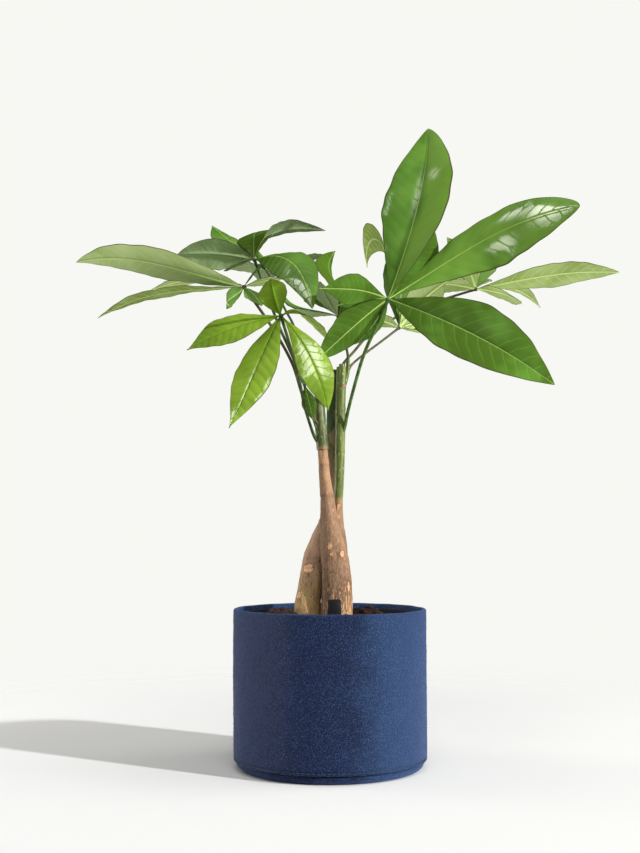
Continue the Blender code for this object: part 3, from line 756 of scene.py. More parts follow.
def smooth_line(points: Sequence[Any], values: Sequence[float], steps: int) -> tuple[np.ndarray, np.ndarray]:
    """Reads a smooth curve through points, and the value beside each, at steps + 1 even places.

    Args:
        points: the curve's points.
        values: one value for each of them.
        steps: how many steps to take along it.

    Returns:
        The points and the values along the curve.
    """
    joined = np.column_stack([np.array(points, float), np.array(values, float)])
    padded = np.vstack([2 * joined[0] - joined[1], joined, 2 * joined[-1] - joined[-2]])
    spans = np.linalg.norm(np.diff(joined[:, :3], axis=0), axis=1)
    lengths = np.concatenate([[0.0], np.cumsum(spans)])
    places = np.interp(np.linspace(0, lengths[-1], steps + 1), lengths, np.arange(len(joined)))
    start = np.minimum(places.astype(int), len(joined) - 2)
    t = (places - start)[:, None]
    a, b, c, d = (padded[start + shift] for shift in range(4))
    bend = (2 * a - 5 * b + 4 * c - d) * t ** 2 + (3 * b - a - 3 * c + d) * t ** 3
    read = 0.5 * (2 * b + (c - a) * t + bend)
    return read[:, :3], read[:, 3]


def turned_faces(rings: int, around: int, closed: bool = True) -> list[tuple[int, ...]]:
    """Faces between rings of points, each ring joined to the next.

    Args:
        rings: how many rings there are.
        around: how many points a ring has.
        closed: whether the last ring is joined to the first.

    Returns:
        The faces, as the numbers of their corners.
    """
    faces = []
    for ring in range(rings if closed else rings - 1):
        low, high = ring * around, (ring + 1) % rings * around
        for step in range(around):
            after = (step + 1) % around
            faces.append((low + step, low + after, high + after, high + step))
    return faces


def capped_faces(rings: int, around: int) -> list[tuple[int, ...]]:
    """Faces between rings of points, with a cap on the first ring and on the last.

    Args:
        rings: how many rings there are.
        around: how many points a ring has.

    Returns:
        The faces, as the numbers of their corners.
    """
    last = (rings - 1) * around
    caps = [tuple(range(around - 1, -1, -1)), tuple(range(last, last + around))]
    return turned_faces(rings, around, closed=False) + caps


def heading(bearing: float, rise: float) -> np.ndarray:
    """The unit vector that points to a bearing from +X and a rise above level, both in degrees."""
    turn, lift = math.radians(bearing), math.radians(rise)
    return np.array([math.cos(turn) * math.cos(lift), math.sin(turn) * math.cos(lift), math.sin(lift)])


def circle(
    radius: float, height: float, sides: int, middle: tuple[float, float] = (0.0, 0.0)
) -> list[tuple[float, float, float]]:
    """Points at even angles round an upright axis.

    Args:
        radius: how far from the axis they lie.
        height: how high they lie.
        sides: how many there are.
        middle: where the axis stands.

    Returns:
        The points.
    """
    x, y = middle
    turns = [math.tau * step / sides for step in range(sides)]
    return [(x + radius * math.cos(turn), y + radius * math.sin(turn), height) for turn in turns]


def arc(
    middle: tuple[float, float], radius: float, start: float, end: float, steps: int
) -> list[tuple[float, float]]:
    """Points along a round corner of a turned profile, angles in degrees."""
    turns = [math.radians(start + (end - start) * step / steps) for step in range(steps + 1)]
    return [(middle[0] + radius * math.cos(turn), middle[1] + radius * math.sin(turn)) for turn in turns]


class FeltPanel(Enum):
    """The two felt pieces of the planter."""

    WALL = "felt_wall"
    BASE = "felt_base"


@dataclass
class FeltPlanter:
    """The soft planter: a felt wall closed at the back, sewn down to a felt base."""

    around: int = 300
    seam_z: float = 10.2
    back_angle: float = math.radians(93.0)
    stitch: float = 3.0
    stitch_pitch: float = 4.4
    closing_gap: float = 3.2
    thread: float = 0.42
    fibres: int = 5200

    def ripple(self, angle: float, height: float) -> float:
        """How far the soft wall leans in or out of round at a place."""
        rise = height / PLANTER_HEIGHT
        return FELT_RIPPLE * (math.sin(2 * angle + 2.2 * rise) + 0.6 * math.sin(3 * angle - 3.0 * rise + 1.0))

    def skin(self, radius: float, angle: float, height: float, outside: bool) -> tuple[float, float, float]:
        """A point on the felt, with its lumps, its seam dents and its closing seam.

        Args:
            radius: the even radius of the surface.
            angle: the bearing of the point in radians.
            height: its height.
            outside: whether it faces out, where the seams pull the felt in.

        Returns:
            The point.
        """
        flat = (radius * math.cos(angle), radius * math.sin(angle), height)
        reach = radius + self.ripple(angle, height)
        reach += 0.22 * ripple_noise(flat, 11.0) + 0.12 * ripple_noise(flat, 3.6)
        if outside:
            reach -= 0.75 * math.exp(-((height - self.seam_z) / 1.3) ** 2)
            away = radius * math.atan2(math.sin(angle - self.back_angle), math.cos(angle - self.back_angle))
            reach -= 0.9 * math.exp(-(away / 1.0) ** 2)
            reach += 0.25 * math.exp(-((abs(away) - 5.0) / 2.5) ** 2)
        return reach * math.cos(angle), reach * math.sin(angle), height

    def wall(self) -> Surface:
        """Rolls the wall with its soft top edge.

        Returns:
            Its closed surface.
        """
        inner = PLANTER_RADIUS - FELT_THICKNESS
        bottom = BASE_HEIGHT + GAP
        soft = FELT_THICKNESS * 0.46
        heights = list(np.linspace(bottom, bottom + 8.0, 12))
        heights += list(np.linspace(bottom + 10.0, PLANTER_HEIGHT - soft, 60))
        profile = [(PLANTER_RADIUS, height, True) for height in heights]
        crown = arc((PLANTER_RADIUS - soft, PLANTER_HEIGHT - soft), soft, 0, 90, 6)[1:]
        crown += arc((inner + soft, PLANTER_HEIGHT - soft), soft, 90, 180, 6)
        profile += [(radius, height, False) for radius, height in crown]
        profile += [(inner, height, False) for height in reversed(heights[::4])]
        points = []
        for radius, height, outside in profile:
            for step in range(self.around):
                angle = math.tau * step / self.around
                x, y, z = self.skin(radius, angle, height, outside)
                if height > PLANTER_HEIGHT - soft:
                    z += 0.35 * ripple_noise((x, y, 0.0), 17.0) - 0.30
                points.append((x, y, z))
        return Surface.made_of(points, turned_faces(len(profile), self.around))

    def base(self) -> Surface:
        """Shapes the shallow base with its soft lower edge.

        Returns:
            Its closed surface.
        """
        outer = PLANTER_RADIUS - BASE_INSET
        inner = outer - FELT_THICKNESS
        profile = [(radius, 0.0) for radius in (2.0, 25.0, 50.0, 70.0)]
        profile += arc((outer - BASE_CORNER, BASE_CORNER), BASE_CORNER, -90, 0, 10)
        profile += [(outer, BASE_HEIGHT - 1.6), (outer - 1.5, BASE_HEIGHT - 0.3), (inner, BASE_HEIGHT)]
        profile += [(inner, FELT_THICKNESS), (2.0, FELT_THICKNESS)]
        points = []
        for radius, height in profile:
            for flat in circle(radius, height, self.around):
                lump = 0.25 * ripple_noise(flat, 9.0) + 0.12 * ripple_noise(flat, 3.0)
                reach = 1 + (lump if height >= 0.5 else 0.0) / max(radius, 20.0)
                points.append((flat[0] * reach, flat[1] * reach, height))
        return Surface.made_of(points, turned_faces(len(profile), self.around))

    def stitches(self) -> Surface:
        """Sews lock stitches round the lower seam and up both sides of the closing seam at the back.

        Returns:
            All stitches in one surface.
        """
        surface = Surface()
        draw = random.Random(SEED)
        radius = PLANTER_RADIUS - 0.55
        count = int(math.tau * radius / self.stitch_pitch)
        for number in range(count):
            ends = []
            for side, lift in ((-1, -0.25), (0, 0.35), (1, -0.25)):
                bearing = math.tau * number / count + side * self.stitch / radius / 2
                height = self.seam_z + draw.uniform(-0.25, 0.25)
                ends.append(self.over_felt(radius, bearing, height, lift))
            self.sew(surface, ends)
        rows = int((PLANTER_HEIGHT - self.seam_z - 8.0) / self.stitch_pitch)
        for side in (-self.closing_gap, self.closing_gap):
            for row in range(rows):
                middle = self.seam_z + 6.0 + row * self.stitch_pitch
                bearing = self.back_angle + side / radius
                self.sew(surface, [
                    self.over_felt(PLANTER_RADIUS, bearing, middle + place * self.stitch / 2, lift)
                    for place, lift in ((-1, -0.2), (0, 0.42), (1, -0.2))])
        return surface

    def over_felt(
        self, radius: float, bearing: float, height: float, lift: float
    ) -> tuple[float, float, float]:
        """A point lifted off the soft wall by a little."""
        reach = radius + self.ripple(bearing, height) + lift
        return reach * math.cos(bearing), reach * math.sin(bearing), height

    def sew(self, surface: Surface, ends: Sequence[Sequence[float]]) -> None:
        """Adds one stitch as a short bowed thread with round ends.

        Args:
            surface: the surface that gets it.
            ends: its two ends and the point between them.
        """
        line, radii = smooth_line(ends, (self.thread,) * 3, 6)
        radii = radii * np.array([0.35, 0.85, 1, 1, 1, 0.85, 0.35])
        add_tube(surface, line, radii, 8)

    def loose_fibres(self) -> Surface:
        """Lays stray fibres on the nap: fine curved slips, thicker than real ones so that they show.

        Returns:
            All fibres in one surface.
        """
        surface = Surface()
        draw = random.Random(SEED + 1)
        for _ in range(self.fibres):
            angle = draw.uniform(0, math.tau)
            height = draw.uniform(1.5, PLANTER_HEIGHT - 0.5)
            inset = BASE_INSET + max(0.0, 5.0 - height) * 0.6 if height < BASE_HEIGHT else 0.0
            radius = PLANTER_RADIUS - inset
            lean, curl = draw.uniform(0, math.pi), draw.uniform(-1.2, 1.2)
            length = draw.uniform(1.2, 3.6)
            slip = []
            for step in range(4):
                share = step / 3 - 0.5
                turn = lean + curl * share
                side = length * share
                bearing = angle + side * math.cos(turn) / radius
                z = min(PLANTER_HEIGHT - 0.3, height + side * math.sin(turn))
                lift = 0.16 + 0.35 * (0.25 - share * share) * draw.uniform(0.2, 1.6)
                base = self.skin(radius, bearing, z, height > BASE_HEIGHT)
                reach = 1 + lift / radius
                slip.append((base[0] * reach, base[1] * reach, z))
            add_tube(surface, np.array(slip), np.array([0.03, 0.065, 0.065, 0.03]), 3)
        return surface


def add_tube(
    surface: Surface, line: np.ndarray, radii: np.ndarray, sides: int, finish: int = 0,
    shape: Callable[[int, float], float] | None = None, cap_finish: int | None = None, **values: Any,
) -> np.ndarray:
    """Adds a closed tube round a line.

    Args:
        surface: the surface that gets it.
        line: the tube's middle line.
        radii: its radius at each point.
        sides: how many points go round it.
        finish: which finish its side takes.
        shape: gives the share of the radius at a ring and an angle.
        cap_finish: which finish its ends take.
        values: for each attribute, a function of a point that gives its value.

    Returns:
        The tube's points.
    """
    along = unit(np.gradient(line, axis=0))
    side = unit(np.cross(along[0], (0.0, 1.0, 0.05)))
    rings = []
    for place, (middle, way, radius) in enumerate(zip(line, along, radii)):
        side = unit(side - side.dot(way) * way)
        other = np.cross(way, side)
        turns = np.arange(sides) * math.tau / sides
        reach = np.array([radius * (shape(place, turn) if shape else 1.0) for turn in turns])[:, None]
        rings.append(middle + reach * (np.cos(turns)[:, None] * side + np.sin(turns)[:, None] * other))
    points = np.concatenate(rings)
    given = {name: [reader(point) for point in points] for name, reader in values.items()}
    start = len(surface.points)
    surface.add(points, turned_faces(len(line), sides, closed=False), finish, **given)
    last = start + len(points) - sides
    for cap in (tuple(range(start + sides - 1, start - 1, -1)), tuple(range(last, last + sides))):
        surface.faces.append(cap)
        surface.finish.append(finish if cap_finish is None else cap_finish)
    return points


@dataclass
class NurseryPot:
    """The thin plastic pot inside the felt, with its turned-out rim and drain holes."""

    around: int = 144
    drain_radius: float = 4.0
    drain_circle: float = 44.0
    drain_count: int = 6

    def outer(self, height: float) -> float:
        """Outer radius of the tapered wall at a height.

        Args:
            height: the height.

        Returns:
            The radius.
        """
        foot = FELT_THICKNESS + GAP
        share = (height - foot) / (LINER_TOP - foot)
        return LINER_FOOT_RADIUS + (LINER_TOP_RADIUS - LINER_FOOT_RADIUS) * share

    def shell(self) -> Surface:
        """Turns the pot's wall, its rim and the outer ring of its floor, round a gap for the floor disc.

        Returns:
            Its closed surface.
        """
        foot = FELT_THICKNESS + GAP
        under = LINER_TOP - LINER_RIM_DEPTH
        floor = foot + LINER_WALL
        round_rim = 0.7
        disc = self.drain_circle + self.drain_radius + 4
        profile = [(disc, foot), (LINER_FOOT_RADIUS, foot)]
        profile += [(self.outer(height), height) for height in (30.0, 60.0, 90.0, 120.0, under)]
        profile += [(LINER_RIM_RADIUS, under)]
        profile += arc((LINER_RIM_RADIUS - round_rim, LINER_TOP - round_rim), round_rim, 0, 90, 4)
        inner = LINER_TOP_RADIUS - LINER_WALL
        profile += arc((inner + round_rim, LINER_TOP - round_rim), round_rim, 90, 180, 4)
        profile += [(self.outer(height) - LINER_WALL, height) for height in (120.0, 90.0, 60.0, 30.0)]
        profile += [(LINER_FOOT_RADIUS - LINER_WALL, floor), (disc, floor)]
        points = [point for radius, height in profile for point in circle(radius, height, self.around)]
        return Surface.made_of(points, turned_faces(len(profile), self.around))

    def floor_disc(self) -> bpy.types.Object:
        """Makes the middle of the floor, a thin disc with its drain holes cut through.

        Returns:
            The new object.
        """
        foot = FELT_THICKNESS + GAP
        disc, cutter = Surface(), Surface()
        reach = self.drain_circle + self.drain_radius + 4
        self.drum(disc, (0.0, 0.0), reach, foot, foot + LINER_WALL, self.around)
        for x, y, _ in circle(self.drain_circle, 0.0, self.drain_count):
            self.drum(cutter, (x, y), self.drain_radius, foot - 1, foot + LINER_WALL + 1, 24)
        item = disc.build("pot_floor", ())
        tool = cutter.build("drain_cutter", ())
        cut = item.modifiers.new("drains", "BOOLEAN")
        cut.operation, cut.object = "DIFFERENCE", tool
        bpy.context.view_layer.update()
        made = bpy.data.meshes.new_from_object(item.evaluated_get(bpy.context.evaluated_depsgraph_get()))
        item.modifiers.clear()
        item.data = made
        bpy.data.objects.remove(tool)
        return item

    @staticmethod
    def drum(
        surface: Surface, middle: tuple[float, float], radius: float, low: float, high: float, sides: int
    ) -> None:
        """Adds an upright closed drum."""
        ends = circle(radius, low, sides, middle) + circle(radius, high, sides, middle)
        surface.add(ends, capped_faces(2, sides))


@dataclass
class Soil:
    """Crumbly soil that fills the nursery pot, with loose crumbs on top."""

    rings: int = 46
    around: int = 150
    crumbs: int = 900
    heaps: tuple[tuple[float, float, float, float], ...] = (
        (-45, -8, 15, 9.8), (37, -6, 11, 9.2), (-58, 22, 12, 3.0))

    def height(self, x: float, y: float) -> float:
        """Height of the soil at a place, by the rule of the solid, with lumps and three low heaps added.

        Args:
            x: the place to the right.
            y: the place to the back.

        Returns:
            The height.
        """
        radius = math.hypot(x, y)
        clumps = math.sin(0.21 * x + 1.0) * math.cos(0.17 * y) + 0.7 * math.sin(0.33 * y + 0.09 * x)
        level = SOIL_TOP + SOIL_CLUMP * clumps * min(1.0, radius / 20)
        level -= SOIL_FALL * (radius / LINER_TOP_RADIUS) ** 2
        for left, back, wide, tall in self.heaps:
            level += tall * math.exp(-((x - left) ** 2 + (y - back) ** 2) / wide ** 2)
        return level + 0.9 * ripple_noise((x, y, 0.0), 6.0) + 0.5 * ripple_noise((x, y, 9.0), 2.6)

    def bed(self, pot: NurseryPot) -> Surface:
        """The bed of soil down to the pot's floor.

        Args:
            pot: the pot that holds it.

        Returns:
            Its closed surface.
        """
        clear = LINER_WALL + 2 * GAP
        edge = pot.outer(SOIL_TOP - 3 * SOIL_CLUMP) - clear
        foot = FELT_THICKNESS + GAP + LINER_WALL + GAP
        points: list[tuple[float, float, float]] = [(0.0, 0.0, self.height(0.0, 0.0))]
        for ring in range(1, self.rings + 1):
            level = circle(edge * ring / self.rings, 0.0, self.around)
            points += [(x, y, self.height(x, y)) for x, y, _ in level]
        points += circle(pot.outer(foot) - clear, foot, self.around)
        faces = [(0, 1 + step, 1 + (step + 1) % self.around) for step in range(self.around)]
        grid = turned_faces(self.rings + 1, self.around, closed=False)
        faces += [tuple(1 + corner for corner in (a, d, c, b)) for a, b, c, d in grid]
        faces.append(tuple(range(1 + self.rings * self.around, 1 + (self.rings + 1) * self.around)))
        return Surface.made_of(points, faces)

    def loose(self) -> Surface:
        """Scatters crumbs of peat and coir on the bed, as small uneven lumps.

        Returns:
            All crumbs in one surface.
        """
        surface = Surface()
        draw = random.Random(SEED + 2)
        form = bmesh.new()
        bmesh.ops.create_icosphere(form, subdivisions=2, radius=1.0)
        ball = [np.array(vertex.co) for vertex in form.verts]
        sides = [tuple(vertex.index for vertex in side.verts) for side in form.faces]
        form.free()
        for _ in range(self.crumbs):
            angle, radius = draw.uniform(0, math.tau), 77.0 * math.sqrt(draw.random())
            x, y = radius * math.cos(angle), radius * math.sin(angle)
            size = draw.uniform(0.9, 3.4) * (0.75 if radius > 72 else 1.0)
            squash = np.array([draw.uniform(0.6, 1.3), draw.uniform(0.6, 1.3), draw.uniform(0.5, 0.9)]) * size
            shift = np.array([draw.uniform(-50, 50) for _ in range(3)])
            middle = np.array([x, y, self.height(x, y) + 0.25 * size])
            points = [
                middle + corner * squash * (1 + 0.45 * ripple_noise(corner + shift, 0.8)) for corner in ball]
            surface.add(points, sides)
        return surface


@dataclass
class PlantTag:
    """The blank black tag that stands in the soil."""

    corner: float = 2.2
    soft: float = 0.2

    def plate(self) -> Surface:
        """Cuts the tag as a thin plate with round shoulders and a pointed foot.

        Returns:
            Its closed surface.
        """
        x, y = LABEL_PLACE
        half, thick = LABEL_WIDTH / 2, LABEL_THICKNESS / 2
        shoulder = LABEL_FOOT + LABEL_WIDTH
        outline = [(0.0, LABEL_FOOT), (half, shoulder)]
        outline += arc((half - self.corner, LABEL_TOP - self.corner), self.corner, 0, 90, 8)
        outline += arc((self.corner - half, LABEL_TOP - self.corner), self.corner, 90, 180, 8)
        outline += [(-half, shoulder)]
        rings = []
        flat = thick - self.soft
        for depth, inset in ((-thick, self.soft), (-flat, 0.0), (flat, 0.0), (thick, self.soft)):
            rings += [
                (x + across * (1 - inset / half), y + depth, height - (inset if height > shoulder else 0.0))
                for across, height in outline]
        return Surface.made_of(rings, capped_faces(4, len(outline)))


@dataclass(frozen=True)
class Mark:
    """A healed cut or a bare patch on bark: where it is, its radius, and how tall it is for its width."""

    middle: tuple[float, float, float]
    radius: float
    tall: float = 1.0
    proud: float = 1.0

    def spread(self, point: np.ndarray) -> float:
        """The square of how many radii a point lies from the middle.

        Args:
            point: the point.

        Returns:
            The square, with the mark's height for its width allowed for.
        """
        away = (point - np.array(self.middle)) / self.radius
        away[2] /= self.tall
        return float(np.dot(away, away))


@dataclass(frozen=True)
class Stem:
    """A round stem by the points of its middle line and its radius at each of them.

    Where a stem turns from bark to green at a bark line, woody picks the part below it or above it.
    """

    route: tuple
    radii: tuple
    steps: int = 12
    flutes: float = 0.0
    bark_line: float = 0.0
    woody: bool = True
    marks: tuple[Mark, ...] = ()
    creases: tuple[float, ...] = ()
    finer: int = 8
    sides: int = 64
    cork: float = 0.35

    def mesh(self, surface: Surface, cap_finish: int | None = None) -> None:
        """Adds the stem with its flutes, cork ridges, leaf rings and healed cuts.

        Args:
            surface: the surface that gets it.
            cap_finish: which finish its ends take.
        """
        coarse, _ = smooth_line(self.route, self.radii, self.steps)
        line, radii = smooth_line(self.route, self.radii, self.steps * self.finer)
        first = 0
        if self.bark_line:
            change = int(np.argmin(np.abs(coarse[:, 2] - self.bark_line))) * self.finer
            first = 0 if self.woody else change
            kept = slice(0, change + 1) if self.woody else slice(change, None)
            line, radii = line[kept].copy(), radii[kept]
            if not self.woody:
                line[0, 2] += GAP

        def form(place: int, turn: float) -> float:
            """Shapes a ring of the stem with flutes, cork and the steps at leaf rings.

            Args:
                place: which ring of the line it is.
                turn: the angle round it.

            Returns:
                The share of the radius there.
            """
            ring = (first + place) / self.finer
            flute = math.sin(3 * turn + 0.7 * ring) + 0.6 * math.sin(5 * turn - 0.4 * ring)
            middle, radius = line[place], radii[place]
            spot = (radius * math.cos(turn), radius * math.sin(turn), middle[2] * 0.22 + self.route[0][0])
            out = self.cork * (ripple_noise(spot, 2.4) + 0.5 * ripple_noise(spot, 1.1))
            for height in self.creases:
                above = middle[2] - height - 1.2 * math.sin(turn + height)
                out += 0.20 * math.exp(-((above - 2.2) / 1.4) ** 2) - 0.22 * math.exp(-(above / 0.9) ** 2)
            return 1 + self.flutes * flute + out / radius

        def cut(point: np.ndarray) -> float:
            """How far inside a healed cut a point is: 1 in its middle and 0.5 at its rim."""
            return max([0.0] + [1.0 - 0.5 * mark.spread(point) for mark in self.marks])

        def crease(point: np.ndarray) -> float:
            """How close a point is to a leaf ring, 1 on it."""
            return max([math.exp(-((point[2] - height) / 1.3) ** 2) for height in self.creases] or [0.0])

        start = len(surface.points)
        points = add_tube(
            surface, line, radii, self.sides, shape=form, cap_finish=cap_finish,
            fresh_wood=cut, crease=crease)
        for number, point in enumerate(points):
            spot = line[min(number // self.sides, len(line) - 1)]
            for mark in self.marks:
                share = mark.spread(point)
                if share < 2.0:
                    callus = math.exp(-((math.sqrt(share) - 0.85) / 0.28) ** 2)
                    callus -= 0.35 * math.exp(-share / 0.2)
                    push = unit(point - spot) * mark.proud * callus
                    surface.points[start + number] = surface.points[start + number] + push


TRUNK_LEFT = Stem(
    route=(
        (-22, 1, ROOT_DEPTH), (-21.5, 1.5, 142), (-19.3, 3, 164), (-15.5, 6.5, 189), (-9.7, 11, 207),
        (-3.4, 16.2, 226), (0.5, 17, 243), (2, 16, 259), (2.6, 13.2, 301), (2.7, 12, 342),
        (3.4, 12.3, 371.5)),
    radii=(13.4, 12.4, 11.2, 10.2, 8.9, 6.6, 5.4, 5.2, 5.5, 5.6, 5.4), steps=26, flutes=0.035,
    marks=(Mark((-20.2, -4.4, 182), 4.6, 1.05, 0.35), Mark((-28.5, -6.0, 157), 2.6, 1.2, 0.8)),
    creases=(192.0, 222.0))
FRONT_ROUTE = (
    (6, -10, ROOT_DEPTH), (5.9, -10, 144), (5.4, -9.5, 180), (3.2, -8.4, 201), (-0.2, -6.4, 223),
    (-2.2, -5, 244), (-4.7, -4.2, 265), (-6.8, -4, 291), (-8.4, -4, 312), (-10, -3, 336), (-11, -2, 357))
FRONT_RADII = (15.6, 14.7, 13.4, 12.0, 9.0, 6.9, 5.3, 4.6, 4.4, 4.0, 2.2)
FRONT_BARK_LINE = 293.5
TRUNK_FRONT = Stem(
    FRONT_ROUTE, FRONT_RADII, 25, 0.03, FRONT_BARK_LINE,
    marks=(
        Mark((-0.6, -20.0, 203), 2.3, 1.3, 0.9), Mark((1.6, -20.6, 196), 1.7, 1.1, 0.7),
        Mark((10.4, -19.4, 196), 2.2, 1.6, 0.9), Mark((16.6, -17.6, 166), 1.8, 2.6, 0.5)),
    creases=(250.0, 279.0))
# The green stem swells past the bark of the trunk that carries it
STEM_LEFT = Stem(
    FRONT_ROUTE, FRONT_RADII[:7] + (5.6, 5.5, 4.9, 2.2), 25, 0.0, FRONT_BARK_LINE, woody=False,
    creases=(318.0, 341.0), sides=48, cork=0.10)
BACK_ROUTE = (
    (8, 17.5, ROOT_DEPTH), (8, 17, 144), (9, 15, 180), (9.2, 12, 203), (7.6, 9, 223), (7.4, 6.8, 237),
    (7.9, 6, 247), (8.6, 5, 259), (9.2, 4, 275), (9.6, 2.5, 303), (10.2, 2.5, 341), (11.1, 3, 373))
BACK_RADII = (10.8, 10.0, 8.8, 7.4, 6.0, 4.9, 4.4, 4.4, 4.5, 4.8, 4.9, 4.8)
BACK_BARK_LINE = 246.0
TRUNK_BACK = Stem(
    BACK_ROUTE, BACK_RADII, 26, 0.03, BACK_BARK_LINE, marks=(Mark((8.2, 1.6, 233), 2.2, 6.0, 0.3),),
    creases=(212.0,))
STEM_RIGHT = Stem(
    BACK_ROUTE, BACK_RADII, 26, 0.0, BACK_BARK_LINE, woody=False,
    marks=(Mark((13.4, -1.2, 355), 2.2, 0.8, 0.8),), creases=(289.0, 330.0), sides=48, cork=0.10)
SIDE_SHOOT = Stem(
    ((10.6, 3, 348), (13.6, 4.2, 356), (16.9, 6.4, 368), (17.4, 6, 381)), (2.2, 2.2, 2.0, 1.8), 5,
    sides=24, cork=0.05)
CUT_KNOB = Stem(((11.6, 3, 370), (11.8, 3.2, 376)), (3.4, 2.8), 1, sides=24, finer=4, cork=0.15)


@dataclass(frozen=True)
class Leaflet:
    """One blade of a hand-shaped leaf, by the same measures as the solid.

    fan is its clock angle round the hub in degrees, seen from the face of the leaf, and tilt is how
    far it leaves the leaf's plane. arch and bow move the midrib up and sideways as shares of length,
    roll turns the blade about its own line, fold lifts its margins, and peak and tip shape its
    outline. Its tint makes its green lighter or darker than the leaf's, partly as its own tone and partly as
    painted light and shade. A painted light makes its right half lighter still,
    and flipped turns its waxy side over.
    wax lists its glossiest zones: where each lies along and across, how far it reaches, and how waxy it is.
    """

    fan: float
    tilt: float
    length: float
    width: float
    arch: tuple[float, float] = (0.06, 0.06)
    bow: float = 0.0
    roll: float = 0.0
    fold: float = 0.0
    peak: float = 0.55
    tip: float = 1.1
    tint_with_painted_light: float = 0.0
    flipped: bool = False
    painted_light_right_half: float = 0.0
    wax: tuple[tuple[float, float, float, float, float], ...] = ()


class Foliage(Enum):
    """The looks that the leaves come in."""

    GLOSSY = "glossy"
    LIME = "lime"
    PALE_UNDER = "pale_under"
    DUSKY = "dusky"


@dataclass(frozen=True)
class Leaf:
    """A compound leaf: its stalk, and the leaflets that spread from the hub at the stalk's end.

    face is the bearing and the rise, in degrees, of the way that the upper side looks.
    """

    name: str
    stalk: tuple
    stalk_radius: float
    face: tuple[float, float]
    look: Foliage
    leaflets: tuple[Leaflet, ...]


